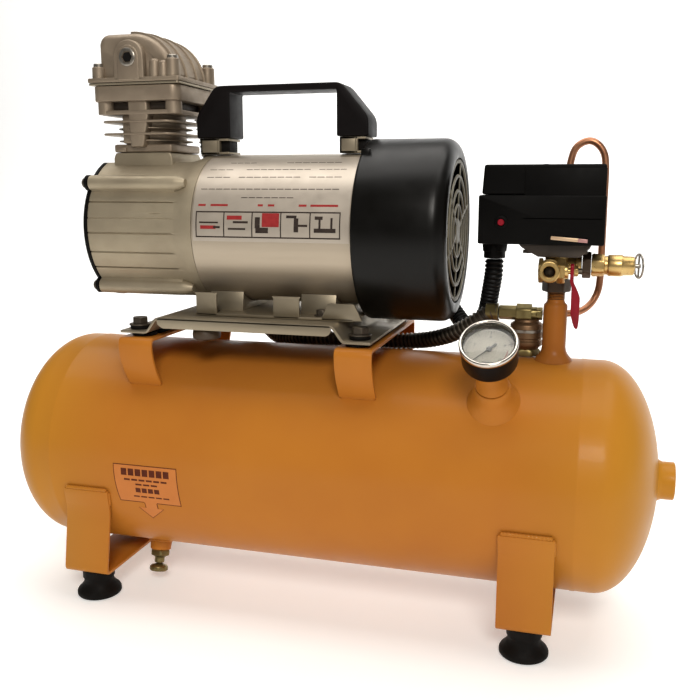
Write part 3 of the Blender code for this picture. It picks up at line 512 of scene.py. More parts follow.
def make_tank_paint():
    """Ochre enamel that drifts warmer along the barrel, painted lighter and yellower towards the tank's ends
    as painted light where the domed heads catch the lamps.
    """
    nodes = Nodes("tank_paint")
    shader = nodes.shader
    shader.inputs["Specular IOR Level"].default_value = 0.10
    shader.inputs["Coat Weight"].default_value = 0.03
    shader.inputs["Coat Roughness"].default_value = 0.06
    axes = nodes.new("ShaderNodeSeparateXYZ")
    nodes.link(nodes.place, axes.inputs["Vector"])
    along = nodes.new("ShaderNodeMath", operation="ABSOLUTE")
    nodes.link(axes.outputs["X"], along.inputs[0])
    # Painted light: the colour turns lighter and yellower towards the domed ends, standing in for the light
    # they catch.
    ends = nodes.spread(along.outputs["Value"], 0.0, 1.0, 0.15, 0.24)
    drift = nodes.spread(nodes.noise(9.0, 4.0), 0.0, 1.0)
    body = nodes.mix(drift, (0.475, 0.172, 0.022), (0.42, 0.142, 0.020))
    lit_ends_yellow = nodes.mix(drift, (0.50, 0.222, 0.022), (0.47, 0.200, 0.020))
    nodes.colour(nodes.mix(ends, body, lit_ends_yellow))
    nodes.roughness(nodes.spread(nodes.noise(27.0), 0.30, 0.40))
    nodes.normal(nodes.bump(nodes.noise(240.0), 0.05, 0.0006))
    return nodes.material


def make_glass():
    nodes = Nodes("glass")
    shader = nodes.shader
    shader.inputs["Base Color"].default_value = (0.95, 0.97, 0.96, 1.0)
    shader.inputs["Transmission Weight"].default_value = 1.0
    shader.inputs["IOR"].default_value = 1.35
    nodes.roughness(nodes.spread(nodes.noise(120.0), 0.0, 0.03))
    return nodes.material


# The frame brings materials of some of these names, so Blender may add a number to the new ones.
M = {finish.name.split(".")[0]: finish for finish in (*make_surfaces(), make_tank_paint(), make_glass())}


# ---------------------------------------------------------------- tank

TANK_RADIUS = 88.0
BARREL_HALF = 217.5
HEAD_DEPTH = 44.3
SEAM_X = 204.0
FLOOR_Z = (CAD_BOX[0].z - CENTRE.z) / MM
LEG_X = tuple(sum(p.x for p in near(f"foot_front_{side}")) / 2 for side in ("left", "right"))
LEFT_LEG_LEAN = 0.11
SADDLE_X = tuple(sum(p.x for p in near(f"saddle_{side}")) / 2 for side in ("left", "right"))
GAUGE_LIFT = math.radians(49.7)
GAUGE_AXIS = Vector((0, -math.cos(GAUGE_LIFT), math.sin(GAUGE_LIFT)))
GAUGE_X = 143.5
DRAIN_LEAN = math.radians(17.0)
DRAIN_AXIS = Vector((0, -math.sin(DRAIN_LEAN), -math.cos(DRAIN_LEAN)))
DRAIN_X = -141.5


def on_tank(x, degrees, lift):
    """A point above the barrel by a lift, at an angle up from its front."""
    angle = math.radians(degrees)
    radius = TANK_RADIUS + lift
    return Vector((x, -radius * math.cos(angle), radius * math.sin(angle)))


def weld_ring(shape, start, axis, radius, bead):
    """A fillet bead where a round bung meets the barrel."""
    across, up, axis = basis(axis)
    points, radii = [], []
    for i in range(72):
        angle = 2 * math.pi * i / 72
        point = Vector(start) + (across * math.cos(angle) + up * math.sin(angle)) * radius
        drop = TANK_RADIUS - math.hypot(point.y, point.z)
        points.append(point + axis * drop)
        radii.append(bead * (1.0 + 0.10 * math.sin(angle * 17)))
    shape.tube(points, radii, 10, closed=True)


def weld_line(shape, points, bead):
    """A straight fillet bead with the ripple of a hand weld."""
    route = []
    start, end = Vector(points[0]), Vector(points[1])
    count = max(12, int((end - start).length / 0.8))
    for i in range(count + 1):
        route.append(start.lerp(end, i / count))
    radii = [bead * (1.0 + 0.13 * math.sin(i * 1.9)) * (0.55 if i in (0, count) else 1.0)
             for i in range(count + 1)]
    shape.tube(route, radii, 10)


def make_tank():
    shape = Shape()
    left = [(TANK_RADIUS * math.sin(a), -BARREL_HALF - HEAD_DEPTH * math.cos(a))
            for a in (math.pi / 2 * i / 24 for i in range(25))]
    seam = [(TANK_RADIUS, -SEAM_X - 2.4), (TANK_RADIUS + 0.3, -SEAM_X - 1.2),
            (TANK_RADIUS + 0.3, -SEAM_X + 1.2), (TANK_RADIUS, -SEAM_X + 2.4)]
    half = left + seam
    profile = half + [(radius, -height) for radius, height in reversed(half)]
    profile = [(0.0 if radius < 1e-3 else radius, height) for radius, height in profile]
    shape.turned(profile, (0, 0, 0), X, steps=192)
    bung_base = TANK_RADIUS - 1.2
    gauge_start = Vector((GAUGE_X, 0, 0)) + GAUGE_AXIS * bung_base
    shape.turned([(0, -4.0), (21.5, -4.0), (19.4, 0.6), (16.6, 4.4), (14.6, 8.4), (13.4, 13.0), (12.6, 18.2),
                  (11.8, 19.0), (8.0, 19.0), (7.6, 18.2), (0, 18.2)], gauge_start, GAUGE_AXIS, 56)
    drain_start = Vector((DRAIN_X, 0, 0)) + DRAIN_AXIS * bung_base
    shape.turned([(0, 0), (9.5, 0), (8.7, 9.4), (8.1, 10.0), (0, 10.0)], drain_start, DRAIN_AXIS, 40)
    weld_ring(shape, drain_start, DRAIN_AXIS, 9.4, 1.7)
    weld_ring(shape, (COLUMN_X, 0, TANK_RADIUS), Z, 11.0, 1.6)
    pole = BARREL_HALF + HEAD_DEPTH
    shape.turned([(8.8, 13.4), (13.4, 13.4), (14.2, 12.6), (14.2, 4.4), (15.2, 2.2), (17.0, 0.2),
                  (19.0, -1.6), (20.0, -3.4), (8.8, -3.4)], (pole - 1.8, 0, 0), X, 56, ring=True)
    piece("tank_shell", shape, "tank_paint", nodes=("tank_barrel", "tank_head_left", "tank_head_right"))
    plug = Shape()
    plug.turned([(0, 0), (8.3, 0), (8.3, 8.6), (7.8, 9.0), (4.6, 9.0, 6), (4.4, 8.6, 6), (4.4, 4.0, 6),
                 (0, 4.0)], (pole + 0.3, 0, 0), X, 36)
    stand_in("end_plug", plug, "steel")


def curved_patch(on_surface, x0, x1, top, bottom, lift, steps):
    """A thin plate on a round surface, between two angles and two x. An x may vary on the way down."""
    body = bmesh.new()
    layers = []
    for height in (0.0, lift):
        grid = []
        for i in range(steps + 1):
            ends = [x(i / steps) if callable(x) else x for x in (x0, x1)]
            degrees = top + (bottom - top) * i / steps
            grid.append([body.verts.new(on_surface(x, degrees, height)) for x in ends])
        layers.append(grid)
    low, high = layers
    for i in range(steps):
        body.faces.new((high[i][0], high[i][1], high[i + 1][1], high[i + 1][0]))
        body.faces.new((low[i][0], low[i + 1][0], low[i + 1][1], low[i][1]))
        for k in (0, 1):
            body.faces.new((low[i][k], low[i + 1][k], high[i + 1][k], high[i][k]))
    for i in (0, steps):
        body.faces.new((low[i][0], low[i][1], high[i][1], high[i][0]))
    return body


def make_tank_panel():
    """A plain printed panel low on the tank's left: an outline, bars and a small arrow, no lettering."""
    def patch(shape, *settings):
        shape.take(curved_patch(on_tank, *settings))

    top, bottom, tip = 2.8, -18.3, -29.0
    left, right = -146.5, -92.0

    def left_edge(t):
        return left + 2.5 * t * t

    def right_edge(t):
        return right + 1.2 * t

    panel = Shape()
    patch(panel, left_edge, right_edge, top, bottom, 0.14, 14)
    patch(panel, -123.0, -112.0, bottom, bottom - 3.4, 0.14, 4)
    patch(panel, lambda t: -129.0 + 9.4 * t, lambda t: -107.0 - 12.6 * t, bottom - 3.4, tip, 0.14, 8)
    piece("tank_panel", panel, "panel_orange", slot="tank_paint")

    ink = Shape()
    line = 0.55
    patch(ink, left, right, top, top - 0.4, 0.2, 2)
    patch(ink, left_edge, lambda t: left_edge(t) + line, top, bottom, 0.2, 14)
    patch(ink, lambda t: right_edge(t) - line, right_edge, top, bottom, 0.2, 14)
    patch(ink, left + 2.5, -123.0, bottom + 0.4, bottom, 0.2, 2)
    patch(ink, -112.0, right + 1.2, bottom + 0.4, bottom, 0.2, 2)
    for x in (-123.0, -112.5):
        patch(ink, x, x + line, bottom, bottom - 3.4, 0.2, 3)
    patch(ink, lambda t: -129.0 + 9.4 * t, lambda t: -128.4 + 9.4 * t, bottom - 3.4, tip, 0.2, 6)
    patch(ink, lambda t: -107.6 - 12.6 * t, lambda t: -107.0 - 12.6 * t, bottom - 3.4, tip, 0.2, 6)
    # Each row: start, end, upper and lower angle, and how many bars it has.
    rows = [(-139.8, -97.4, 0.7, -3.0, 7), (-137.5, -99.5, -4.7, -5.7, 6), (-128.0, -108.0, -7.2, -8.1, 3),
            (-128.5, -107.0, -9.6, -12.2, 4), (-131.0, -99.0, -14.2, -15.0, 5)]
    for start, end, upper, lower, count in rows:
        width = (end - start) / count
        for i in range(count):
            patch(ink, start + width * i, start + width * (i + 0.80), upper, lower, 0.2, 3)
    piece("tank_panel_ink", ink, "panel_ink", slot="black_plastic")


FOOT_HEIGHT = 24.0
FOOT_Y = 64.0
LEG_SHEET = 2.7
LEG_HALF_WIDTH = 19.5


def make_legs():
    bottom = FLOOR_Z + FOOT_HEIGHT + LEG_SHEET / 2
    half = [(-87.6, -20.5), (-85.0, -30.0), (-82.4, -37.5), (-81.65, -46.0), (-81.65, bottom), (0.0, bottom)]
    half = rounded(half, 5.0, 6)
    path = half + mirrored(half[:-1])
    for side, x in zip(("left", "right"), LEG_X):
        shape = Shape()
        shape.strip(path, x - LEG_HALF_WIDTH, x + LEG_HALF_WIDTH, LEG_SHEET, edge=0.45)
        for sign in (-1, 1):
            weld_line(shape, ((x - 18.0, sign * 87.4, -19.6), (x + 18.0, sign * 87.4, -19.6)), 1.5)
            for end in (-19.3, 19.3):
                weld_line(shape, ((x + end, sign * 86.0, -22.0), (x + end, sign * 82.6, -34.0)), 1.1)
        if side == "left":
            for vertex in shape.mesh.verts:
                vertex.co.x += LEFT_LEG_LEAN * (vertex.co.z - bottom + LEG_SHEET / 2)
        stand_in(f"leg_{side}", shape, "tank_paint")
        for place, sign in (("front", -1), ("rear", 1)):
            foot = Shape()
            foot.turned([(0, 23.7), (12.4, 23.7), (13.0, 23.0), (13.0, 15.2), (12.3, 14.2), (12.0, 12.0),
                         (12.8, 9.6), (15.2, 6.6), (17.3, 4.6), (18.0, 3.2), (18.0, 1.0), (17.4, 0.2),
                         (15.5, 0.0), (0, 0.0)], (x, sign * FOOT_Y, FLOOR_Z), Z, 56)
            stand_in(f"foot_{place}_{side}", foot, "black_rubber")
            bolt = Shape()
            bolt.hex_bolt((x, sign * FOOT_Y, bottom + LEG_SHEET / 2), Z, 13.0, 5.0, washer=9.0)
            piece(f"foot_bolt_{place}_{side}", bolt, "steel")


# ---------------------------------------------------------------- saddles and tray

SADDLE_TOP = near("saddle_left")[1].z
TRAY_TOP = near("motor_tray")[1].z
FLANGE_Z = 106.2
TRAY_SHEET = 2.0
TRAY_HALF_DEPTH = 72.0
SADDLE_SHEET = 2.5
ISOLATOR_Y = 60.0
CRADLE_SIDE_Y = 53.0
GAP = 0.3  # left between sheets that lie on each other


def make_saddles():
    top = SADDLE_TOP - SADDLE_SHEET / 2
    half = [(-61.9, 63.9), (-66.2, 70.0), (-70.6, 77.5), (-73.8, 85.0), (-75.4, 92.0), (-75.6, top),
            (0.0, top)]
    half = rounded(half, 5.0, 6)
    path = half + mirrored(half[:-1])
    for side, x in zip(("left", "right"), SADDLE_X):
        shape = Shape()
        shape.strip(path, x - 14.0, x + 14.0, SADDLE_SHEET, edge=0.4)
        for sign in (-1, 1):
            weld_line(shape, ((x - 13.0, sign * 61.6, 63.6), (x + 13.0, sign * 61.6, 63.6)), 1.4)
        stand_in(f"saddle_{side}", shape, "tank_paint")
        pads = Shape()
        for sign in (-1, 1):
            pads.turned([(0, 0), (9.4, 0), (9.7, 0.4), (9.7, 1.9), (9.4, 2.3), (0, 2.3)],
                        (x, sign * ISOLATOR_Y, SADDLE_TOP + GAP), Z, 40)
        pads.box((x - 9.6, -52.0, SADDLE_TOP + GAP), (x + 9.6, 52.0, SADDLE_TOP + GAP + 2.3), 0.4)
        stand_in(f"isolator_{side}", pads, "black_rubber")


def make_tray():
    top = TRAY_TOP - TRAY_SHEET / 2
    path = [(-143.5, FLANGE_Z), (-121.0, FLANGE_Z), (-113.0, top), (28.0, top), (36.0, FLANGE_Z),
            (57.0, FLANGE_Z)]
    path = rounded(path, 2.5, 4)
    shape = Shape()
    shape.strip(path[::-1], -TRAY_HALF_DEPTH, TRAY_HALF_DEPTH, TRAY_SHEET, along="Y", edge=0.35)
    for sign in (-1, 1):
        outline = [(-112.0, 117.9), (-112.0, 113.2), (-107.5, 110.0), (24.0, 110.0), (27.0, 112.6),
                   (27.0, 117.9)]
        middle = (0, sign * (TRAY_HALF_DEPTH - TRAY_SHEET / 2), 0)
        shape.slab(rounded(outline, 1.4, 3, closed=True), middle, X, Z, TRAY_SHEET, edge=0.3)
    stand_in("motor_tray", shape, "sheet_steel")

    bolts = Shape()
    rubber = Shape()
    for x in (-132.5, 46.0):
        for sign in (-1, 1):
            seat = (x, sign * ISOLATOR_Y, FLANGE_Z + TRAY_SHEET / 2)
            rubber.turned([(0, 0), (7.4, 0), (7.8, 0.5), (7.8, 2.6), (7.4, 3.0), (0, 3.0)], seat, Z, 36)
            bolts.turned([(0, 0), (8.6, 0), (8.6, 1.1), (0, 1.1)], Vector(seat) + Z * 3.0, Z, 40, edge=0.25)
            bolts.hex_bolt(Vector(seat) + Z * 4.1, Z, 11.0, 5.0)
    for x in (-78.0, 12.0):
        for sign in (-1, 1):
            bolts.hex_bolt((x, sign * 44.0, TRAY_TOP + 2.3), Z, 8.0, 4.0, washer=6.0)
    piece("tray_bolts", bolts, "dark_steel", slot="steel")
    piece("tray_grommets", rubber, "black_rubber")
    bumpers = Shape()
    for sign in (-1, 1):
        bumpers.turned([(0, 0), (9.4, 0), (10.6, 1.0), (10.8, 4.0), (10.2, 7.0), (9.0, 8.2), (0, 8.2)],
                       (-76.5, sign * 59.0, 101.7), Z, 40)
    piece("tray_bumpers", bumpers, "rubber_brown", slot="black_rubber")


def make_cradle():
    base = TRAY_TOP + GAP
    shape = Shape()
    shape.box((-88.0, -54.0, base), (39.0, 54.0, base + 2.0), 0.4)
    for sign in (-1, 1):
        flare = 1.4
        for left, right, height in ((-87.0, -70.0, 18.0), (-23.5, -3.0, 17.0)):
            outline = [(left, 0.5), (left, height - 1.6), (left - flare, height), (right + flare, height),
                       (right, height - 1.6), (right, 0.5)]
            shape.slab(rounded(outline, 0.8, 2, closed=True), (0, sign * CRADLE_SIDE_Y, base), X, Z, 2.0,
                       edge=0.3)
            middle = (left + right) / 2
            gusset = [(0, 0.5), (0, height - 2.0), (8.0 * -sign, 0.5)]
            shape.slab(gusset, (middle, sign * 52.2, base), Y, Z, 1.8, edge=0.2)
        tab = [(-16.0, 0.5), (-10.5, 13.0), (9.5, 13.0), (16.0, 0.5)]
        shape.slab(rounded(tab, 1.2, 3, closed=True), (30.0, sign * CRADLE_SIDE_Y, base), X, Z, 2.0,
                   edge=0.3)
    for left, right in ((-84.0, -56.0), (-8.0, 20.0)):
        hollow = arc(58.2, 235, 305, 14, centre=(0.0, MOTOR_Z))
        outline = [(-36.0, base + 1.0), *hollow, (36.0, base + 1.0)]
        shape.slab(outline, ((left + right) / 2, 0, 0), Y, Z, right - left, edge=0.4)
    stand_in("motor_cradle", shape, "sheet_steel")


# ---------------------------------------------------------------- motor and pump

MOTOR_Z = 183.2
HOUSING_RADIUS = 58.0
CRANK_LEFT, CRANK_RIGHT = near("crankcase")[0].x, near("crankcase")[1].x
HOUSING_LEFT, HOUSING_RIGHT = near("stator_housing")[0].x, near("stator_housing")[1].x
PUMP_X = -144.0
DECK_Z = near("cylinder")[1].z
HEAD_TOP = near("cylinder_head")[1].z


def loft_along_x(shape, stations, count, radius_at, middle_z):
    """A closed body from cross-sections round the motor's axis; radius_at(x, degrees) shapes each."""
    body = bmesh.new()
    rows = []
    for x in stations:
        row = []
        for i in range(count):
            degrees = 360.0 * i / count
            angle = math.radians(degrees)
            radius = radius_at(x, degrees)
            row.append(body.verts.new((x, radius * math.cos(angle), middle_z + radius * math.sin(angle))))
        rows.append(row)
    skin(body, rows)
    shape.take(body)


CASE_RADIUS = 56.3
CASE_FLAT = 52.3
BOSSES = [(side * across, up) for across, up in ((47.5, 36.0), (39.0, -45.5)) for side in (-1, 1)]
# Each groove: degrees round the case (180 faces the front), depth, and where it starts and ends along X.
GROOVES = ((157.6, 1.7, -199.0, -103.5), (166.6, 0.8, -126.0, -113.0), (170.7, 0.8, -199.0, -103.5),
           (182.5, 1.0, -199.0, -103.5), (198.1, 1.1, -199.0, -103.5), (212.2, 1.7, -199.0, -103.5))


def cut_flat(radius, degrees):
    """The radius of a round wall whose top is cut flat."""
    if 8.0 < degrees < 172.0:
        return min(radius, CASE_FLAT / math.sin(math.radians(degrees)))
    return radius


def crankcase_radius(x, degrees):
    """The cast case: a round wall cut flat on top, grooved on both flanks, blended into the housing."""
    radius = CASE_RADIUS
    blend = min(1.0, max(0.0, (x + 103.0) / 8.0))
    flank = degrees if 90 < degrees < 270 else (180.0 - degrees) % 360.0
    for groove, depth, start, end in GROOVES:
        inside = min(1.0, max(0.0, (x - start) / 2.0)) * min(1.0, max(0.0, (end - x) / 2.0))
        distance = (flank - groove) / 0.55
        radius -= depth * math.exp(-distance ** 4) * inside
    radius = cut_flat(radius, degrees)
    return radius + (HOUSING_RADIUS - 0.4 - radius) * blend


def make_crankcase():
    shape = Shape()
    stations = [CRANK_LEFT, CRANK_LEFT + 0.8, CRANK_LEFT + 2.0, CRANK_LEFT + 4.0, -150.0, -127.0, -125.0,
                -123.0, -116.0, -114.0, -112.0, -106.0, -104.0, -102.0, -99.0, -97.0, -95.0, CRANK_RIGHT]
    loft_along_x(shape, stations, 1080, crankcase_radius, MOTOR_Z)
    length = CRANK_RIGHT - CRANK_LEFT - 8.0
    for place in BOSSES:
        start = Vector((CRANK_LEFT + 0.2, place[0], MOTOR_Z + place[1]))
        shape.turned([(0, 0), (5.6, 0), (6.0, 0.4), (6.0, length - 9.0), (5.2, length - 5.0), (3.0, length),
                      (0, length)], start, X, 40)
        out = Vector((0, *place)).normalized()
        web = [(-6.0, -8.0), (6.0, -8.0), (5.7, 1.0), (-5.7, 1.0)]
        shape.slab(web, start + X * (length / 2 - 4.0), X.cross(out), out, length - 9.0, edge=0.5)
    neck = [(-25.0, MOTOR_Z + 30.0), (27.0, MOTOR_Z + 30.0), (27.0, 239.0), (25.0, 243.0), (-23.0, 243.0),
            (-25.0, 239.0)]
    shape.slab(rounded(neck, 1.5, 3, closed=True), (PUMP_X, 0, 0), X, Z, 52.0, edge=1.6, segments=3)
    stand_in("crankcase", shape, "case_casting", slot="cast_aluminium")

    cover = Shape()
    left = CRANK_LEFT - 3.6
    loft_along_x(cover, [left, left + 0.7, left + 3.3], 180, cover_radius, MOTOR_Z)
    cover.turned([(0, -0.1), (45.0, -0.1), (43.5, 0.5), (0, 0.5)], (left - 0.2, 0, MOTOR_Z), X, 96)
    for y, z in BOSSES:
        cover.turned([(0, 0.1), (5.6, 0.1), (6.2, 0.7), (6.2, 3.2), (0, 3.2)], (left, y, MOTOR_Z + z), X, 40)
    stand_in("crankcase_cover", cover, "black_plastic")
    screws = Shape()
    for y, z in BOSSES:
        screws.hex_bolt((left + 0.1, y, MOTOR_Z + z), -X, 7.5, 3.0, hollow=True)
    piece("crankcase_screws", screws, "dark_steel", slot="steel")


def cover_radius(x, degrees):
    """The end cover: round, cut flat on top like the case."""
    return cut_flat(57.0 if x > CRANK_LEFT - 3.5 else 56.2, degrees)


def make_cylinder():
    shape = Shape()
    x = PUMP_X
    profile = [(0, 244.0), (24.4, 244.0)]
    for z in (252.4, 262.0):
        profile += [(24.4, z - 1.1), (29.5, z - 0.35), (29.5, z + 0.35), (24.4, z + 1.1)]
    profile += [(24.4, 293.0), (0, 293.0)]
    shape.turned(profile, (x, 0, 0), Z, 72)
    for z in (257.2, 266.8):
        corners = [(-32.5, -27.0), (-27.0, -32.5), (26.0, -32.5), (31.5, -27.0), (31.5, 27.0), (26.0, 32.5),
                   (-27.0, 32.5), (-32.5, 27.0)]
        shape.slab(rounded(corners, 3.0, 3, closed=True), (x, 0, z), X, Y, 1.7, edge=0.6)
    shape.box((x - 24.5, -25.5, 243.3), (x + 26.5, 25.5, 249.5), 1.6, 3)
    shape.box((x - 21.0, -27.0, 243.5), (x - 13.0, 27.0, 247.2), 0.8)
    lower = [(-34.0, -26.0), (-28.0, -32.0), (30.0, -32.0), (36.0, -26.0), (36.0, 26.0), (30.0, 32.0),
             (-28.0, 32.0), (-34.0, 26.0)]
    shape.slab(rounded(lower, 3.0, 4, closed=True), (x, 0, 273.7), X, Y, 3.4, edge=0.7)
    upper = [(-37.0, -30.0), (-32.5, -34.5), (33.5, -34.5), (38.0, -30.0), (38.0, 30.0), (33.5, 34.5),
             (-32.5, 34.5), (-37.0, 30.0)]
    shape.slab(rounded(upper, 3.0, 4, closed=True), (x, 0, 288.0), X, Y, 11.8, edge=0.8)
    for dx, y in ((-29, -26), (-29, 26), (30, -26), (30, 26)):
        shape.rod((x + dx, y, 272.5), Z, 6.5, 12.0, steps=28)
    for side in (-1, 1):
        web = [(-6.0, 0), (5.0, 0), (10.0, 24.0), (9.0, 38.0), (-7.0, 38.0), (-7.0, 24.0)]
        shape.slab(web, (x, side * 26.5, 247.0), X, Z, 10.6, edge=1.4, segments=3)
        for dx in (-34.0, 33.0):
            shape.turned([(0, 0), (3.4, 0), (3.4, 10.6), (0, 10.6)], (x + dx * 0.97, side * 29.0, 283.0), Z,
                         24)
    shape.box((x - 15.0, -27.5, 250.0), (x - 7.0, -20.0, 272.0), 1.2)
    stand_in("cylinder", shape, "cast_aluminium")
    core = Shape()
    core.box((x - 27.0, -26.5, 275.6), (x + 28.0, 26.5, 281.9), 1.5)
    piece("cylinder_shadow_core", core, "cast_dark", slot="cast_aluminium")


def make_head():
    x = PUMP_X + 0.5
    low = near("cylinder_head")[0].z
    plate = Shape()
    plate.slab(corner_plate(39.0, 36.0, 2.2), (x, 0, DECK_Z + 1.05), X, Y, 1.5, edge=0.25)
    stand_in("valve_plate", plate, "sheet_steel")

    shape = Shape()
    shape.slab(corner_plate(39.4, 36.4, 1.6), (x, 0, low + 1.8), X, Y, 3.6, edge=1.0)
    dome_body(shape, x, low)
    for y in (-25.0, -10.0, 8.0, 22.0):
        rib_over_dome(shape, x, low, y)
    port_z = 314.3
    px = x - 3.0
    for radius, front in ((13.0, 36.4), (9.4, 37.0)):
        arch = [(-radius, low + 1.0), (radius, low + 1.0)] + arc(radius, 0, 180, 20, centre=(0.0, port_z))
        shape.slab(arch, (px, -front / 2 - 8.0, 0), X, Z, front - 16.0, edge=1.2, segments=3)
    shape.turned([(0, 0), (9.0, 0), (9.0, 11.4), (8.4, 12.0), (6.4, 12.0), (6.4, 9.0), (0, 9.0)],
                 (x, 28.0, 309.0), Y, 40)
    for dx, y, tall in HEAD_PILLARS:
        shape.turned([(0, 0), (5.6, 0), (5.4, tall - 0.6), (4.8, tall), (0, tall)], (x + dx, y, low + 0.8),
                     Z, 28)
    for dx, tall in ((17.5, 15.5), (25.0, 14.0)):
        shape.turned([(0, 0), (4.4, 0), (4.3, tall - 2.6), (3.4, tall - 0.8), (1.8, tall), (0, tall + 0.2)],
                     (x + dx, -31.5, low + 1.5), Z, 24)
    stand_in("cylinder_head", shape, "cast_aluminium")

    plug = Shape()
    plug.turned([(6.9, 0), (6.9, 0.9), (6.3, 1.4), (4.3, 1.4, 6), (4.0, 0.9, 6), (4.0, 0.0, 6)],
                (px, -36.6, port_z), -Y, 48, ring=True)
    piece("head_port_plug", plug, "steel")
    # A black hexagon filling the plug's key socket: painted shade in the recess.
    piece("head_plug_socket_shade", Shape().rod((px, -36.0, port_z), -Y, 4.1, 1.2, steps=6), "black_rubber")
    screws = Shape()
    for dx, y, tall in HEAD_PILLARS:
        screws.hex_bolt((x + dx, y, low + 0.8 + tall), Z, 8.6, 2.6, hollow=True)
    piece("head_screws", screws, "steel")


def corner_plate(half_x, half_y, radius):
    """A rectangle with softly rounded corners."""
    corners = [(-half_x, -half_y), (half_x, -half_y), (half_x, half_y), (-half_x, half_y)]
    return rounded(corners, radius, 4, closed=True)


HEAD_PILLARS = ((-32.0, -30.0, 11.5), (-32.0, 30.0, 11.5), (32.0, -30.0, 16.0), (33.0, 30.0, 16.0))
DOME_MIDDLE = (-4.0, HEAD_TOP - 39.0)
DOME_HALF_DEPTH = 30.9


def dome_side(low):
    """The head's side outline: upright at the left, falling in an arc to the right."""
    side = [(-31.0, low + 1.0), (32.0, low + 1.0), (33.0, 303.5)]
    side += arc(37.5, 8, 84, 18, centre=DOME_MIDDLE)
    side += arc(6.5, 96, 176, 6, centre=(-24.5, HEAD_TOP - 8.3))
    return side


def dome_drop(t):
    """How much of the dome's height is left, from 1 at its middle to 0.7 at its front and back."""
    return 1.0 - 0.30 * (1.0 - math.sqrt(max(0.0, 1.0 - abs(t) ** 3.2)))


def dome_body(shape, x, low):
    """The dome is lofted in slices across, whose tops drop towards the front and the back."""
    body = bmesh.new()
    side = dome_side(low)
    rows = []
    slices = 24
    for k in range(slices + 1):
        t = -1.0 + 2.0 * k / slices
        y = DOME_HALF_DEPTH * math.sin(t * math.pi / 2)
        drop = dome_drop(t)
        squeeze = 1.0 - 0.07 * abs(t) ** 4
        rows.append([
            body.verts.new((x + a * squeeze, y,
                            low + 1.0 + (u - low - 1.0) * (drop if u > low + 2 else 1.0)))
            for a, u in side
        ])
    skin(body, rows)
    shape.take(body)


def rib_over_dome(shape, x, low, y):
    """A thin cast rib that follows the dome's arc down its right side."""
    drop = dome_drop(2 / math.pi * math.asin(abs(y) / DOME_HALF_DEPTH))
    outline = arc(38.9, 4, 92, 22, DOME_MIDDLE) + arc(33.0, 92, 4, 22, DOME_MIDDLE)
    outline = [(a, low + 1.0 + (u - low - 1.0) * drop) for a, u in outline]
    shape.slab([(34.6, low + 2.0), *outline, (27.0, low + 2.0)], (x, y, 0), X, Z, 2.0, edge=0.5)


CAP_LEFT = near("fan_cap")[0].x
CAP_RIGHT = near("fan_cap")[1].x
CAP_RADIUS = 68.9


def on_housing(x, degrees, lift):
    """A point above the motor housing by a lift; 90 degrees is its top and 180 its front."""
    angle = math.radians(degrees)
    radius = HOUSING_RADIUS + lift
    return Vector((x, radius * math.cos(angle), MOTOR_Z + radius * math.sin(angle)))


def housing_patch(shape, x0, x1, top, bottom, lift, steps=None):
    steps = steps or max(1, int(abs(bottom - top) / 2.5))
    shape.take(curved_patch(on_housing, x0, x1, top, bottom, lift, steps))


def make_housing():
    shape = Shape()
    shape.turned([(52.0, HOUSING_LEFT), (HOUSING_RADIUS - 0.4, HOUSING_LEFT),
                  (HOUSING_RADIUS, HOUSING_LEFT + 0.4), (HOUSING_RADIUS, HOUSING_RIGHT),
                  (13.0, HOUSING_RIGHT), (13.0, HOUSING_RIGHT - 4.0), (52.0, HOUSING_RIGHT - 4.0)],
                 (0, 0, MOTOR_Z), X, 180, ring=True)
    stand_in("stator_housing", shape, "silver_paint")


def make_motor_label():
    """A pale printed film: rows of plain bars over five boxed, generic tool shapes."""
    film = Shape()
    housing_patch(film, -86.0, 37.0, 108.0, 187.0, 0.12)
    piece("motor_label", film, "label_film", slot="silver_paint")
    ink = Shape()
    red = Shape()
    lift = 0.19
    rows = [(118.5, ((-66.0, -44.0), (-20.0, 24.0))), (127.7, ((-80.0, -60.0), (-50.0, 2.0), (8.0, 30.0))),
            (136.0, ((-80.0, -60.0), (-54.0, -4.0), (2.0, 28.0))), (147.0, ((-82.0, 28.0),)),
            (154.0, ((-48.0, -6.0),))]
    for degrees, spans in rows:
        for start, end in spans:
            bars = max(1, round((end - start) / 6.0))
            for i in range(bars):
                at = start + (end - start) * i / bars
                housing_patch(ink, at, at + (end - start) / bars * 0.84, degrees, degrees + 0.55, lift, 1)
    for start, end in ((-82.0, -76.0), (-72.0, -58.0), (-34.0, -30.0), (-26.0, -21.0), (-2.0, 4.0),
                       (7.0, 28.0)):
        housing_patch(red, start, end, 159.4, 161.0, lift, 2)

    left, width, count = -83.0, 22.6, 5
    top, bottom = 165.3, 183.7
    for i in range(count + 1):
        x = left + width * i
        housing_patch(ink, x - 0.45, x + 0.45, top, bottom, lift)
    for degrees in (top, bottom):
        housing_patch(ink, left - 0.45, left + width * count + 0.45, degrees - 0.5, degrees + 0.5, lift, 1)
    tools = [
        (ink, 2.5, 18.0, 172.6, 173.8), (red, 3.5, 16.0, 175.4, 178.0), (ink, 14.0, 19.5, 175.8, 177.4),
        (red, 25.0, 37.0, 168.0, 171.0), (ink, 30.0, 42.0, 172.0, 173.6), (ink, 26.0, 40.0, 177.0, 178.4),
        (red, 53.0, 66.5, 166.0, 176.0), (ink, 48.0, 58.0, 176.5, 180.5), (ink, 47.5, 51.5, 169.0, 177.0),
        (ink, 72.0, 80.0, 167.5, 169.5), (ink, 78.0, 81.5, 169.5, 179.5), (ink, 81.0, 88.5, 174.0, 175.6),
        (ink, 93.5, 110.0, 176.6, 179.6), (ink, 94.0, 100.0, 168.0, 170.4), (ink, 97.0, 98.6, 170.4, 176.6),
        (ink, 106.0, 107.6, 169.0, 176.6),
    ]
    for shape, start, end, upper, lower in tools:
        housing_patch(shape, left + start, left + end, upper, lower, lift)
    piece("motor_label_ink", ink, "label_ink", slot="black_plastic")
    piece("motor_label_red", red, "label_red", slot="red_vinyl")


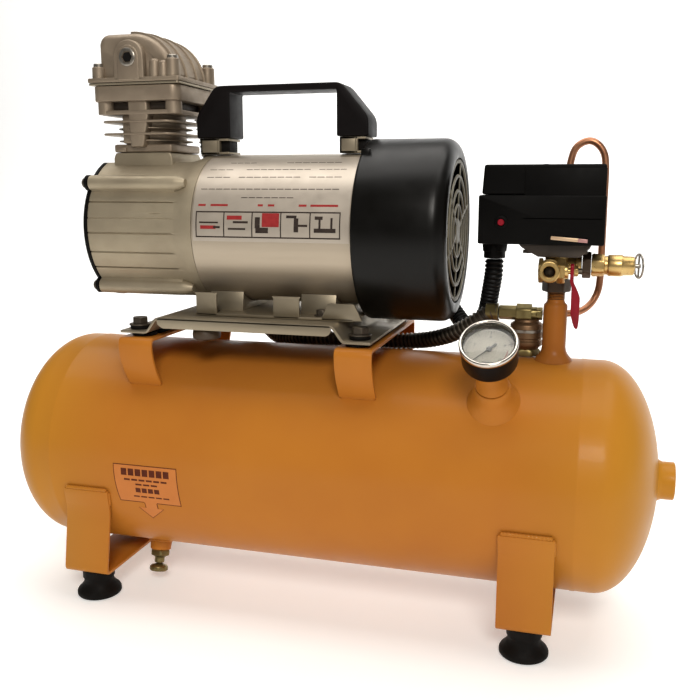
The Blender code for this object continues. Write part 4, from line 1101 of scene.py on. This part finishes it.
def make_fan_cap():
    shape = Shape()
    corner = arc(11.0, 90, 12, 10, centre=(CAP_RADIUS - 11.0, CAP_RIGHT - 11.0))
    outer = [(54.2, CAP_RIGHT - 2.4), (54.6, CAP_RIGHT - 0.4), (55.4, CAP_RIGHT)] + corner
    outer += [(CAP_RADIUS, CAP_RIGHT - 12.0), (CAP_RADIUS, 42.4), (68.3, CAP_LEFT + 0.5), (67.6, CAP_LEFT),
              (HOUSING_RADIUS + 0.5, CAP_LEFT)]
    inner = [(HOUSING_RADIUS + 0.5, 43.3), (65.9, 43.3), (65.9, 95.5), (58.0, 104.0), (54.2, 104.0)]
    shape.turned(outer + inner, (0, 0, MOTOR_Z), X, 180, ring=True)
    shape.box((CAP_LEFT + 0.4, -40.0, MOTOR_Z + 54.5), (CAP_LEFT + 7.0, -32.0, MOTOR_Z + 60.6), 0.8)
    stand_in("fan_cap", shape, "fan_black", slot="black_plastic")

    grille = Shape()
    face = CAP_RIGHT - 1.6
    for inner, outer in ((50.4, 53.6), (39.6, 42.4), (28.8, 31.4), (18.4, 20.8)):
        grille.turned([(inner, face), (inner + 0.5, face + 1.1), (outer - 0.5, face + 1.1), (outer, face)],
                      (0, 0, MOTOR_Z), X, 120, ring=True)
    grille.turned([(0, face), (10.0, face), (9.0, face + 1.1), (0, face + 1.3)], (0, 0, MOTOR_Z), X, 72)
    for i in range(6):
        angle = 2 * math.pi * (i + 0.35) / 6
        out = Vector((0, math.cos(angle), math.sin(angle)))
        spoke = [(-1.6, 9.0), (1.6, 9.0), (2.6, 26.0), (1.1, 51.5), (-1.1, 51.5), (0.4, 26.0)]
        grille.slab(spoke, (face + 0.5, 0, MOTOR_Z), X.cross(out), out, 0.9, edge=0.2)
    stand_in("fan_grille", grille, "grille", slot="sheet_steel")


def make_handle():
    """A pressed black handle: a bar with two splayed legs, on folded sheet brackets."""
    outline = [(-101.0, 254.0), (-72.6, 254.0), (-72.6, 288.4), (14.6, 288.4), (14.6, 254.0), (39.6, 254.0),
               (39.6, 268.0), (18.0, 293.6), (-84.5, 293.6), (-101.0, 271.0)]
    shape = Shape()
    path = []
    for i, point in enumerate(outline):
        before, after = outline[i - 1], outline[(i + 1) % len(outline)]
        radius = 5.0 if i in (6, 7, 8, 9) else 1.6
        corner = rounded([before, point, after], radius, 5)
        path += corner[1:-1]
    shape.slab(path, (0, 0, 0), X, Z, 28.0, edge=1.5, segments=3)
    stand_in("handle", shape, "handle_black", slot="black_plastic")
    for side in ("left", "right"):
        low, high = near(f"handle_bracket_{side}")
        bracket = Shape()
        top = high.z
        base = low.z
        bracket.box((low.x, -12.0, top - 1.8), (high.x, 12.0, top), 0.3)
        bracket.box((low.x, -12.0, base), (high.x, 12.0, base + 1.8), 0.3)
        for x in (low.x, low.x + (high.x - low.x) * 0.60):
            bracket.box((x, -12.0, base), (x + 1.8, 12.0, top), 0.3)
        bracket.box((low.x, -12.0, base), (low.x + (high.x - low.x) * 0.60, -10.4, top), 0.3)
        stand_in(f"handle_bracket_{side}", bracket, "sheet_steel")
        block = Shape()
        block.box((low.x + (high.x - low.x) * 0.64, -8.0, base + 1.9), (high.x - 0.6, 8.0, top - 1.9), 0.6)
        piece(f"handle_block_{side}", block, "black_rubber")


# ---------------------------------------------------------------- pipework

COLUMN_X = 181.3
OUTLET_X = 177.0
OUTLET_Z = 157.0
STEM_Y = -20.0
SAFETY_Z = 160.0
CHECK = Vector((160.0, 10.0, 0.0))
CHECK_Z = 121.0


def make_check_valve():
    shape = Shape()
    base = near("check_valve")[0].z
    shape.turned([(0, 117.0), (8.6, 117.0), (9.2, 116.4), (9.4, 115.0), (12.0, 113.2), (12.4, 112.4),
                  (12.4, 103.0), (11.6, 102.2), (11.6, 100.8), (12.4, 100.0), (12.4, 97.4), (11.8, 96.6),
                  (9.4, 94.4), (9.0, 93.4), (9.0, base), (0, base)], CHECK, Z, 56)
    stand_in("check_valve", shape, "bronze", slot="brass")
    start = Vector((near("check_valve")[0].x, CHECK.y, CHECK_Z))
    nuts = Shape()
    nuts.turned([(0, 0), (4.4, 0), (4.9, 0.6, 6, 5.5), (4.9, 15.0, 6), (0, 15.0)], start, X, 48)
    nuts.turned([(0, 13.4), (6.2, 13.4, 6), (6.5, 13.9, 6, 7.3), (6.5, 24.4, 6, 7.3), (6.2, 25.0, 6),
                 (0, 25.0)], start, X, 48)
    nuts.turned([(0, 24.0), (5.0, 24.0), (5.0, 28.4), (4.4, 29.0, 6, 4.9), (4.4, 33.0, 6), (0, 33.0)], start,
                X, 48)
    nuts.turned([(0, 0), (9.4, 0, 6, 10.2), (9.4, 0.9, 6), (9.4, 4.0, 6), (9.0, 5.0, 6, 9.4), (0, 5.0)],
                Vector((CHECK.x, CHECK.y, base + 0.2)), Z, 48)
    piece("check_valve_nuts", nuts, "olive_brass", slot="brass")
    rim = Shape()
    rim.turned([(11.8, 107.0), (12.9, 107.4), (12.9, 109.4), (11.8, 109.8)], CHECK, Z, 56, ring=True)
    piece("check_valve_rim", rim, "steel")


def make_column():
    base = TANK_RADIUS + 0.2
    shape = Shape()
    shape.turned([(4.8, 148.6), (6.4, 148.6), (6.4, 133.0), (7.0, 131.6), (8.4, 130.2), (8.8, 129.2),
                  (8.8, 98.0), (9.3, 95.0), (10.8, 92.0), (13.2, 89.4), (15.0, base - 1.2),
                  (4.8, base - 1.2)], (COLUMN_X, 0, 0), Z, 48, ring=True)
    # The column wears the tank's paint, darkened here as painted shade.
    stand_in("column_pipe", shape, "column_shaded_paint", slot="tank_paint")
    thread = Shape()
    for i in range(6):
        z = 134.0 + i * 1.1
        thread.turned([(6.2, z), (6.75, z + 0.5), (6.2, z + 1.0)], (COLUMN_X, 0, 0), Z, 40, ring=True)
    piece("column_thread", thread, "bronze_dark", slot="brass")
    nut = Shape()
    nut.turned([(6.9, 0), (9.2, 0, 6, 9.9), (9.2, 0.9, 6), (9.2, 8.1, 6), (9.2, 9.0, 6, 9.9), (6.9, 9.0)],
               (COLUMN_X, 0, 139.9), Z, 48, ring=True)
    stand_in("column_nut", nut, "bronze_dark", slot="steel")

    body = Shape()
    body.turned([(0, 149.3), (8.2, 149.3), (8.6, 149.8), (8.6, 165.6), (8.0, 166.3), (0, 166.3)],
                (COLUMN_X, 0, 0), Z, 48)
    body.turned([(0, 0), (6.0, 0), (6.0, 12.6), (6.9, 13.2), (6.9, 16.8), (6.3, 17.4), (0, 17.4)],
                (COLUMN_X, 0, SAFETY_Z), X, 40)
    body.turned([(0, 0), (6.0, 0), (6.0, 10.4), (0, 10.4)], (OUTLET_X, 0, OUTLET_Z), -Y, 40)
    body.turned([(0, -8.8), (7.6, -8.8), (7.6, 0), (0, 0)], (COLUMN_X, 0, SAFETY_Z), X, 40, edge=0.5)
    stand_in("brass_manifold", body, "brass")


def make_outlet_valve():
    shape = Shape()
    middle = Vector((OUTLET_X, STEM_Y, OUTLET_Z))
    shape.turned([(4.6, 21.3), (6.8, 21.3), (7.4, 20.7), (7.4, 13.6), (8.4, 12.9), (8.4, 0.5), (8.0, 0.0),
                  (0.0, 0.0), (0.0, 3.0), (4.6, 3.0)], (OUTLET_X, -10.7, OUTLET_Z), -Y, 56, ring=True)
    for start, end, inner in ((-8.0, -4.9, 0.0), (4.9, 10.6, 2.6)):
        shape.turned([(inner, start), (7.4, start, 6), (7.8, start + 0.5, 6), (7.8, end - 0.5, 6),
                      (7.4, end, 6), (inner, end)], middle, X, 48, ring=inner > 0)
    shape.turned([(2.6, 10.4), (5.2, 10.4), (5.2, 12.4), (4.8, 13.0), (2.6, 13.0)], middle, X, 40, ring=True)
    for i in range(5):
        depth = 15.0 + i * 1.2
        shape.turned([(4.7, depth), (4.2, depth + 0.55), (4.7, depth + 1.1)], (OUTLET_X, -10.7, OUTLET_Z),
                     -Y, 40, ring=True)
    stand_in("outlet_valve", shape, "brass")

    lever = Shape()
    paddle = [(14.3, -3.0), (14.3, -7.0), (15.6, -11.0), (15.7, -31.0), (18.0, -39.0), (19.4, -41.5),
              (21.2, -41.5), (21.9, -36.0), (21.9, -19.0), (20.2, -14.5), (16.9, -8.0), (16.9, -3.0)]
    lever.slab(rounded(paddle, 1.6, 4, closed=True), middle, X, Z, 4.8, edge=1.1, segments=3)
    eye = [(-4.3, -5.3), (4.3, -5.3), (4.3, 5.3), (-4.3, 5.3)]
    lever.slab(rounded(eye, 2.6, 5, closed=True), middle + X * 15.6, Y, Z, 2.5, edge=0.5)
    stand_in("valve_lever", lever, "red_vinyl", body="outlet_lever")
    stem = Shape()
    stem.turned([(0, 0), (2.2, 0), (2.2, 6.0), (0, 6.0)], middle + X * 12.0, X, 24)
    stem.hex_bolt(middle + X * 17.0, X, 6.6, 2.8)
    piece("lever_stem_nut", stem, "brass", body="outlet_lever")


def make_safety_valve():
    nut = Shape()
    nut.turned([(6.4, 0), (8.5, 0, 6, 9.1), (8.5, 0.8, 6), (8.5, 5.4, 6), (8.5, 6.2, 6, 9.1), (6.4, 6.2)],
               (199.1, 0, SAFETY_Z), X, 48, ring=True)
    stand_in("safety_adaptor", nut, "bronze_dark", slot="steel")
    shape = Shape()
    shape.turned([(2.2, 30.5), (4.6, 30.5), (5.0, 30.3), (6.6, 29.6), (6.9, 28.8), (7.1, 22.6), (7.7, 21.6),
                  (7.9, 20.8), (7.9, 12.6), (7.5, 11.8), (6.9, 11.2), (6.9, 9.4), (7.4, 8.9, 6, 7.8),
                  (7.4, 1.2, 6), (7.4, 0.0, 6, 7.6), (2.2, 0.0)], (205.5, 0, SAFETY_Z), X, 60, ring=True)
    stand_in("safety_valve", shape, "brass")
    pull = Shape()
    start = 223.0
    pull.turned([(0, 0), (1.7, 0), (1.7, 15.0), (1.4, 17.0), (0, 17.0)], (start, 0, SAFETY_Z), X, 24)
    lean = math.radians(18.0)
    across, up, _ = basis((math.cos(lean), math.sin(lean), 0))
    middle = Vector((238.6, 0, SAFETY_Z))
    ring = [middle + (across * math.cos(a) + up * math.sin(a)) * 8.6
            for a in (2 * math.pi * i / 48 for i in range(48))]
    pull.tube(ring, 0.8, 10, closed=True)
    bar = [middle + Z * h for h in (-8.6, -5.0, 0.0, 5.0, 8.6)]
    pull.tube(bar, 0.75, 10)
    stand_in("safety_pull", pull, "steel", body="safety_ring")


HOSE = [(-143.5, 41.0, 309.0), (-143.5, 56.0, 308.0), (-143.0, 74.0, 294.0), (-140.0, 84.0, 262.0),
        (-134.0, 86.0, 220.0), (-126.0, 86.0, 170.0), (-112.0, 85.5, 128.0), (-98.0, 83.0, 107.0),
        (-82.0, 75.0, 93.0), (-60.0, 59.0, 83.5), (-30.0, 44.0, 86.5), (10.0, 38.5, 88.6),
        (45.0, 38.5, 88.6), (64.0, 36.5, 90.0), (82.0, 29.0, 93.5), (100.0, 20.0, 100.0),
        (116.0, 13.5, 109.5), (127.0, 10.8, 117.5), (133.0, 10.1, 120.5), (138.1, 10.0, 121.0)]
CONDUIT = [(84.5, 58.2, 125.0), (91.0, 60.0, 119.5), (99.0, 54.0, 111.0), (107.0, 46.0, 104.0),
           (115.0, 38.5, 102.5), (122.0, 32.0, 107.5), (127.0, 27.5, 119.0), (130.5, 20.0, 136.0),
           (133.0, 13.5, 150.0), (133.5, 12.0, 157.5), (133.5, 12.0, 162.2)]
BLEED = [(172.0, 12.6, 121.5), (186.0, 15.0, 121.0), (198.0, 22.0, 122.0), (206.0, 29.0, 127.0),
         (211.0, 33.5, 136.0), (212.5, 35.0, 148.0), (212.5, 35.5, 170.0), (212.3, 35.5, 205.0),
         (212.0, 35.5, 232.0), (209.5, 35.5, 243.0), (203.0, 35.5, 249.5), (196.0, 35.5, 249.8),
         (189.5, 35.5, 245.0), (186.5, 35.0, 236.0), (185.3, 34.5, 225.0), (185.2, 34.5, 214.0)]


def evenly(route, step):
    """Points a fixed distance apart along a route, and their distances from its start."""
    places, lengths, walked = [route[0]], [0.0], 0.0
    target = step
    for a, b in zip(route, route[1:]):
        length = (b - a).length
        while walked + length >= target:
            places.append(a.lerp(b, (target - walked) / length))
            lengths.append(target)
            target += step
        walked += length
    return places, lengths


def helix(route, radius, pitch, step):
    """A coil of wire round a route."""
    places, lengths = evenly(route, step)
    side = basis(places[1] - places[0])[0]
    points = []
    for i, (here, length) in enumerate(zip(places, lengths)):
        ahead = (places[min(i + 1, len(places) - 1)] - places[max(i - 1, 0)]).normalized()
        side = (side - ahead * side.dot(ahead)).normalized()
        other = ahead.cross(side)
        angle = 2 * math.pi * length / pitch
        points.append(here + (side * math.cos(angle) + other * math.sin(angle)) * radius)
    return points


def make_hose():
    hose_radius, coil_radius, coil_pitch, wire_radius = 5.6, 6.2, 4.0, 0.75
    route = smooth_route(HOSE, 14)
    places, _ = evenly(route, 1.0)
    stand_in("discharge_hose", Shape().tube(places, hose_radius, 20), "hose_braid")
    guard = Shape()
    guard.tube(helix(route, coil_radius, coil_pitch, 0.33), wire_radius, 8)
    piece("hose_spring_guard", guard, "guard_wire", slot="hose_braid")
    ends = Shape()
    for here, ahead in ((route[0], Y), (route[-1], -X)):
        ends.turned([(0, 0), (6.9, 0), (6.9, 1.0), (6.5, 1.6), (6.5, 9.0), (6.1, 9.6), (0, 9.6)], here,
                    ahead, 36)
    piece("hose_end_nuts", ends, "olive_brass", slot="brass")


def make_conduit():
    root, rib, pitch = 5.9, 1.3, 3.4
    route = smooth_route(CONDUIT, 16)
    places, lengths = evenly(route, 0.5)
    radii = [root + rib * (0.5 + 0.5 * math.cos(2 * math.pi * length / pitch)) ** 0.6 for length in lengths]
    stand_in("motor_conduit", Shape().tube(places, radii, 28), "conduit_black", slot="black_rubber")
    gland = Shape()
    low = near("conduit_gland")[0].z
    gland.turned([(5.2, low), (7.8, low), (8.2, low + 0.5), (8.2, low + 5.0), (8.4, low + 5.4, 6, 9.0),
                  (8.4, low + 12.2, 6), (8.0, low + 13.0), (5.2, low + 13.0)],
                 (CONDUIT[-1][0], CONDUIT[-1][1], 0), Z, 48, ring=True)
    stand_in("conduit_gland", gland, "black_plastic")


BLEED_RADIUS = 2.7


def make_bleed_tube():
    route = smooth_route(BLEED, 14)
    places, _ = evenly(route, 1.0)
    stand_in("bleed_tube", Shape().tube(places, BLEED_RADIUS, 20), "copper")
    nut = Shape()
    top = BLEED[-1]
    nut.turned([(2.9, 0), (5.0, 0, 6, 5.4), (5.0, 7.4, 6), (4.6, 8.4, 6, 4.9), (2.9, 9.4)],
               (top[0], top[1], 213.8), Z, 48, ring=True)
    piece("bleed_tube_nut", nut, "brass")


# ---------------------------------------------------------------- pressure switch

BUTTON_X = 141.8
BUTTON_Z = 191.5


def make_switch():
    low, high = near("switch_base")
    left, right = low.x, high.x
    front, back = low.y, 28.0
    bottom, split = low.z, 210.7
    base = Shape()
    outline = [(left, bottom), (right, bottom), (right, split), (left, split)]
    base.slab(rounded(outline, 1.6, 4, closed=True), (0, (front + back) / 2, 0), X, Z, back - front,
              edge=0.8)
    base.box((left + 31.0, front, split - 17.0), (right - 2.0, front + 3.0, split - 15.6), 0.4)
    base.box((179.0, back - 1.0, 192.0), (191.5, 41.0, 213.5), 1.0)
    base.box((right - 4.0, front + 3.0, bottom), (right, front + 14.0, bottom + 8.0), 0.8)
    base.turned([(2.9, 0), (4.6, 0), (4.6, 0.7), (4.2, 1.0), (2.9, 1.0)], (BUTTON_X, front - 0.1, BUTTON_Z),
                -Y, 40, ring=True)
    stand_in("switch_base", base, "switch_black", slot="black_plastic")
    cover = Shape()
    c_low, c_high = near("switch_cover")
    outline = [(c_low.x, c_low.z), (c_high.x, c_low.z), (c_high.x, c_high.z), (c_low.x + 1.4, c_high.z)]
    cover.slab(rounded(outline, 2.0, 5, closed=True), (0, (c_low.y + c_high.y) / 2, 0), X, Z,
               c_high.y - c_low.y, edge=1.3, segments=3)
    cover.box((c_low.x + 30.0, c_low.y - 0.6, 196.0), (c_high.x + 0.4, c_low.y + 2.0, c_high.z - 2.6), 0.5)
    stand_in("switch_cover", cover, "switch_black", slot="black_plastic")

    # A pale brass bar with a rose tip along the switch base's lower front edge: a painted highlight and
    # reflection on that edge, made as thin pieces.
    tilt = Matrix.Rotation(math.radians(4.5), 4, "Y")
    lower_edge_glint = Shape()
    lower_edge_glint.box((177.0, front - 1.2, 178.9), (201.5, front + 1.0, 181.4), 0.4, turn=tilt)
    piece("switch_edge_reflection", lower_edge_glint, "reflection_brass", slot="brass")
    tip = Shape()
    tip.box((195.5, front - 1.4, 178.1), (202.2, front + 1.0, 180.6), 0.4, turn=tilt)
    piece("switch_edge_red_reflection", tip, "reflection_rose", slot="brass")
    button = Shape()
    button.turned([(0, 0), (1.9, 0), (2.3, 0.5), (2.4, 1.2), (2.4, 7.0), (0, 7.0)],
                  (BUTTON_X, front - 1.6, BUTTON_Z), Y, 40)
    stand_in("reset_button", button, "red_vinyl", body="reset")
    screws = Shape()
    screws.turned([(0, 0), (2.6, 0), (2.4, 0.8), (1.6, 1.2), (0, 1.3)],
                  ((c_low.x + c_high.x) / 2, 0, c_high.z - 0.4), Z, 28)
    piece("switch_screws", screws, "dark_steel", slot="steel")

    flange = Shape()
    outline = [(154.0, 175.7), (156.0, 173.4), (168.0, 166.8), (172.0, 166.6), (194.0, 166.6),
               (198.0, 167.0), (204.0, 173.4), (205.0, 175.7)]
    flange.slab(outline, (0, -1.0, 0), X, Z, 40.0, edge=0.8)
    for x in (160.5, 199.0):
        for y in (-17.0, 15.0):
            flange.turned([(0, 0), (3.4, 0, 6, 3.8), (3.4, 2.2, 6), (0, 2.6)], (x, y, 171.4), -Z, 24)
    stand_in("diaphragm_flange", flange, "cast_dark", slot="cast_aluminium")


# ---------------------------------------------------------------- gauge and drain

# Distances from the tank's axis along the gauge's own.
GAUGE_NECK_FOOT = 106.3
GAUGE_BACK = 131.5
GAUGE_FACE = 152.6
GAUGE_MIDDLE = Vector((GAUGE_X, 0, 0))
# The scale starts at the lower left and runs clockwise, in degrees.
SCALE_START = -135.0
SCALE_SWEEP = 270.0


def on_dial(radius, degrees, depth):
    """A point over the dial; degrees run clockwise from straight up as seen from the front."""
    up = (X.cross(GAUGE_AXIS) * -1).normalized()
    right = up.cross(GAUGE_AXIS)
    angle = math.radians(degrees)
    return GAUGE_MIDDLE + GAUGE_AXIS * depth + (up * math.cos(angle) + right * math.sin(angle)) * radius


def dial_bar(shape, inner, outer, degrees, width, depth, height=0.12):
    up = (on_dial(1.0, degrees, 0) - GAUGE_MIDDLE).normalized()
    across = up.cross(GAUGE_AXIS)
    shape.slab([(-width / 2, inner), (width / 2, inner), (width / 2, outer), (-width / 2, outer)],
               GAUGE_MIDDLE + GAUGE_AXIS * depth, across, up, height)


def make_gauge():
    depth = GAUGE_FACE - GAUGE_BACK
    start = GAUGE_MIDDLE + GAUGE_AXIS * GAUGE_BACK
    stem = GAUGE_NECK_FOOT - GAUGE_BACK
    case = Shape()
    case.turned([(17.3, depth - 3.0), (18.9, depth - 3.0), (18.9, 4.4), (18.3, 2.6), (16.4, 0.6),
                 (14.6, 0.0), (8.0, 0.0), (0.0, 0.0), (0.0, 9.0), (17.3, 9.0)], start, GAUGE_AXIS, 96,
                ring=True)
    stand_in("gauge_case", case, "gauge_black", slot="black_plastic")
    neck = Shape()
    neck.turned([(0, 0.2), (8.6, 0.2), (9.0, -0.6), (9.4, -8.0), (10.2, -16.0), (11.0, -22.0),
                 (11.5, stem + 0.6), (10.8, stem), (0, stem)], start, GAUGE_AXIS, 48)
    piece("gauge_neck", neck, "tank_paint")
    bezel = Shape()
    bezel.turned([(17.1, depth - 2.2), (17.1, depth - 0.9), (17.4, depth + 0.5), (17.8, depth + 1.0),
                  (18.5, depth + 1.2), (19.2, depth + 0.9), (19.6, depth + 0.2), (19.6, depth - 2.0),
                  (19.3, depth - 2.6)], start, GAUGE_AXIS, 120, ring=True)
    stand_in("gauge_bezel", bezel, "bezel_steel", slot="chrome")
    rim = Shape()
    rim.turned([(15.9, 10.0), (16.9, 10.0), (16.9, depth - 2.6), (16.5, depth - 2.6)], start, GAUGE_AXIS, 96,
               ring=True)
    piece("gauge_inner_rim", rim, "dark_steel", slot="chrome")

    face = GAUGE_FACE - 7.3
    plate = Shape()
    plate.turned([(0, -1.2), (16.3, -1.2), (16.6, -0.9), (16.6, -0.2), (16.4, 0), (0, 0)],
                 GAUGE_MIDDLE + GAUGE_AXIS * face, GAUGE_AXIS, 96)
    stand_in("gauge_dial", plate, "dial_white")
    marks = Shape()
    for i in range(41):
        degrees = SCALE_START + SCALE_SWEEP * i / 40
        long = i % 5 == 0
        dial_bar(marks, 12.4 if long else 13.6, 14.8, degrees, 0.34 if long else 0.18, face + 0.06)
    dial_bar(marks, 9.2, 9.6, 180.0, 7.0, face + 0.06)
    piece("gauge_marks", marks, "dial_ink", slot="black_plastic")
    reds = Shape()
    for i in range(16):
        dial_bar(reds, 11.2, 11.7, 90.0 + 2.8 * i, 0.56, face + 0.06)
    piece("gauge_red_arc", reds, "label_red", slot="red_vinyl")
    for i in range(5):
        dial_number(str(i * 3), SCALE_START + SCALE_SWEEP * i / 4, face + 0.05)

    lens = Shape()
    lens.turned([(0, -1.0), (16.5, -1.0), (16.7, -0.8), (16.7, 0.0), (16.4, 0.2), (0, 0.2)],
                GAUGE_MIDDLE + GAUGE_AXIS * (GAUGE_FACE - 1.4), GAUGE_AXIS, 96)
    stand_in("gauge_lens", lens, "glass")

    pointer = Shape()
    up = (on_dial(1.0, SCALE_START, 0) - GAUGE_MIDDLE).normalized()
    across = up.cross(GAUGE_AXIS)
    hub = GAUGE_MIDDLE + GAUGE_AXIS * (GAUGE_FACE - 6.4)
    outline = [(-0.9, -5.6), (0.0, -6.2), (0.9, -5.6), (0.7, -3.0), (0.4, 0.0), (0.15, 12.6), (-0.15, 12.6),
               (-0.4, 0.0), (-0.7, -3.0)]
    pointer.slab(outline, hub, across, up, 0.5)
    pointer.turned([(0, -0.5), (1.7, -0.5), (1.7, 0.5), (1.2, 0.8), (0, 0.9)], hub, GAUGE_AXIS, 36)
    stand_in("gauge_pointer", pointer, "dial_ink", body="gauge_needle", slot="black_plastic")


def dial_number(text, degrees, depth):
    """A plain number on the dial, as a mesh."""
    curve = bpy.data.curves.new(f"dial_number_{text}", "FONT")
    curve.body = text
    curve.size = 2.7 * MM
    curve.extrude = 0.05 * MM
    curve.align_x = "CENTER"
    curve.align_y = "CENTER"
    loose = add_object(curve.name, curve)
    bpy.context.view_layer.update()
    data = bpy.data.meshes.new_from_object(loose.evaluated_get(bpy.context.evaluated_depsgraph_get()))
    bpy.data.objects.remove(loose)
    bpy.data.curves.remove(curve)
    obj = add_object(f"dial_number_{text}", data)
    up = (on_dial(1.0, 0.0, 0) - GAUGE_MIDDLE).normalized()
    right = up.cross(GAUGE_AXIS)
    turn = Matrix((right, up, GAUGE_AXIS)).transposed().to_4x4()
    data.transform(Matrix.Translation(CENTRE + on_dial(10.2, degrees, depth) * MM) @ turn)
    data.materials.clear()
    data.materials.append(M["dial_ink"])
    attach(obj, "compressor")


def make_drain():
    start = Vector((DRAIN_X, 0, 0)) + DRAIN_AXIS * (TANK_RADIUS + 9.1)
    body = Shape()
    body.turned([(2.4, 11.0), (3.8, 11.0), (4.2, 10.4), (4.2, 6.6), (5.2, 5.8), (7.0, 5.0),
                 (7.5, 4.4, 6, 8.1), (7.5, 0.6, 6), (7.2, 0.0, 6, 7.8), (0.0, 0.0), (0.0, 1.0), (2.4, 1.0)],
                start, DRAIN_AXIS, 48, ring=True)
    stand_in("drain_valve", body, "olive_brass", slot="brass")
    screw = Shape()
    profile = [(0, 2.7), (2.0, 2.7), (2.0, 11.6), (3.4, 12.0), (6.4, 13.0), (7.6, 14.2), (7.8, 15.4),
               (7.6, 17.2), (6.6, 18.2), (3.6, 18.7), (0, 18.7)]
    screw.turned(profile, start, DRAIN_AXIS, 36)
    across, up, axis = basis(DRAIN_AXIS)
    for i in range(18):
        angle = 2 * math.pi * i / 18
        out = across * math.cos(angle) + up * math.sin(angle)
        screw.slab([(-0.4, -1.2), (0.4, -1.2), (0.4, 1.2), (-0.4, 1.2)], start + axis * 15.8 + out * 7.5,
                   axis.cross(out), axis, 0.6)
    stand_in("drain_screw", screw, "olive_brass", body="drain_knob", slot="brass")


# ---------------------------------------------------------------- the frame's own inner pieces

KEPT = {
    "stator_core": "lamination", "rotor_core": "lamination", "crankshaft": "steel",
    "bearing_crank_side": "steel", "bearing_fan_side": "steel", "cooling_fan": "black_plastic",
    "piston": "cast_aluminium", "valve_ball": "dark_steel", "contact_block": "dial_white",
}


def dress_kept_nodes():
    for name, finish in KEPT.items():
        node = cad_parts[name]
        node.data.materials.clear()
        node.data.materials.append(M[finish])
        node.data.shade_smooth()
        node.data.set_sharp_from_angle(angle=math.radians(35))


make_tank()
make_tank_panel()
make_legs()
make_saddles()
make_tray()
make_cradle()
make_crankcase()
make_cylinder()
make_head()
make_housing()
make_motor_label()
make_fan_cap()
make_handle()
make_check_valve()
make_column()
make_outlet_valve()
make_safety_valve()
make_hose()
make_conduit()
make_bleed_tube()
make_switch()
make_gauge()
make_drain()
dress_kept_nodes()


# ---------------------------------------------------------------- stage

def make_floor():
    """A pale floor that bends up into a backdrop behind the object; metres."""
    nodes = Nodes("studio_floor")
    nodes.colour(nodes.mix(nodes.spread(nodes.noise(1.2), 0.0, 1.0), (0.86, 0.86, 0.85), (0.84, 0.84, 0.83)))
    nodes.roughness(nodes.spread(nodes.noise(3.0), 0.55, 0.65))
    nodes.normal(nodes.bump(nodes.noise(400.0), 0.02, 0.0005))
    nodes.shader.inputs["Emission Color"].default_value = (1.0, 0.985, 0.96, 1.0)
    nodes.shader.inputs["Emission Strength"].default_value = 0.34
    data = bpy.data.meshes.new("studio_floor")
    body = bmesh.new()
    floor = CAD_BOX[0].z - 0.0004
    front, depth, rise, half, bend = -1.6, 3.2, 2.6, 5.0, 1.2
    section = [(front, floor), (depth - bend, floor)]
    section += [(depth - bend + bend * math.sin(a), floor + bend - bend * math.cos(a))
                for a in (math.pi / 2 * i / 16 for i in range(1, 17))]
    section.append((depth, floor + rise))
    rows = [[body.verts.new((x, y, z)) for x in (-half, half)] for y, z in section]
    for first, second in zip(rows, rows[1:]):
        body.faces.new((first[0], first[1], second[1], second[0]))
    body.to_mesh(data)
    body.free()
    data.shade_smooth()
    data.materials.append(nodes.material)
    add_object("studio_floor", data)


def area_light(name, place, target, size, power, colour=(1.0, 1.0, 1.0)):
    data = bpy.data.lights.new(name, "AREA")
    data.shape = "RECTANGLE"
    data.size, data.size_y = size
    data.energy = power
    data.color = colour
    obj = add_object(name, data)
    obj.location = place
    obj.rotation_euler = (Vector(target) - Vector(place)).to_track_quat("-Z", "Y").to_euler()


def make_lights():
    world = bpy.data.worlds.new("studio")
    world.use_nodes = True
    background = world.node_tree.nodes["Background"]
    background.inputs["Color"].default_value = (1.0, 0.985, 0.96, 1.0)
    background.inputs["Strength"].default_value = 0.14
    bpy.context.scene.world = world
    aim = (0.0, 0.0, 0.2)
    area_light("ceiling_softbox", (0.0, 0.3, 1.9), (0.0, 0.3, 0.0), (2.4, 1.6), 40.0, (1.0, 0.97, 0.93))
    area_light("key_softbox", (0.45, -1.35, 1.15), aim, (0.5, 0.4), 15.0, (1.0, 0.955, 0.89))
    area_light("backdrop_softbox", (0.0, 1.3, 1.9), (0.0, 3.2, 0.7), (4.5, 0.6), 60.0)


def make_camera():
    data = bpy.data.cameras.new("camera")
    data.lens = 43.8
    data.sensor_width = 36.0
    data.clip_start = 0.05
    data.clip_end = 20.0
    camera = add_object("camera", data)
    camera.location = CENTRE + Vector((206.1, -650.1, 218.1)) * MM
    camera.rotation_euler = (math.radians(78.995), 0.0, math.radians(15.865))
    bpy.context.scene.camera = camera


make_floor()
make_lights()
make_camera()
bpy.context.scene.view_settings.view_transform = "Standard"

bpy.context.view_layer.update()
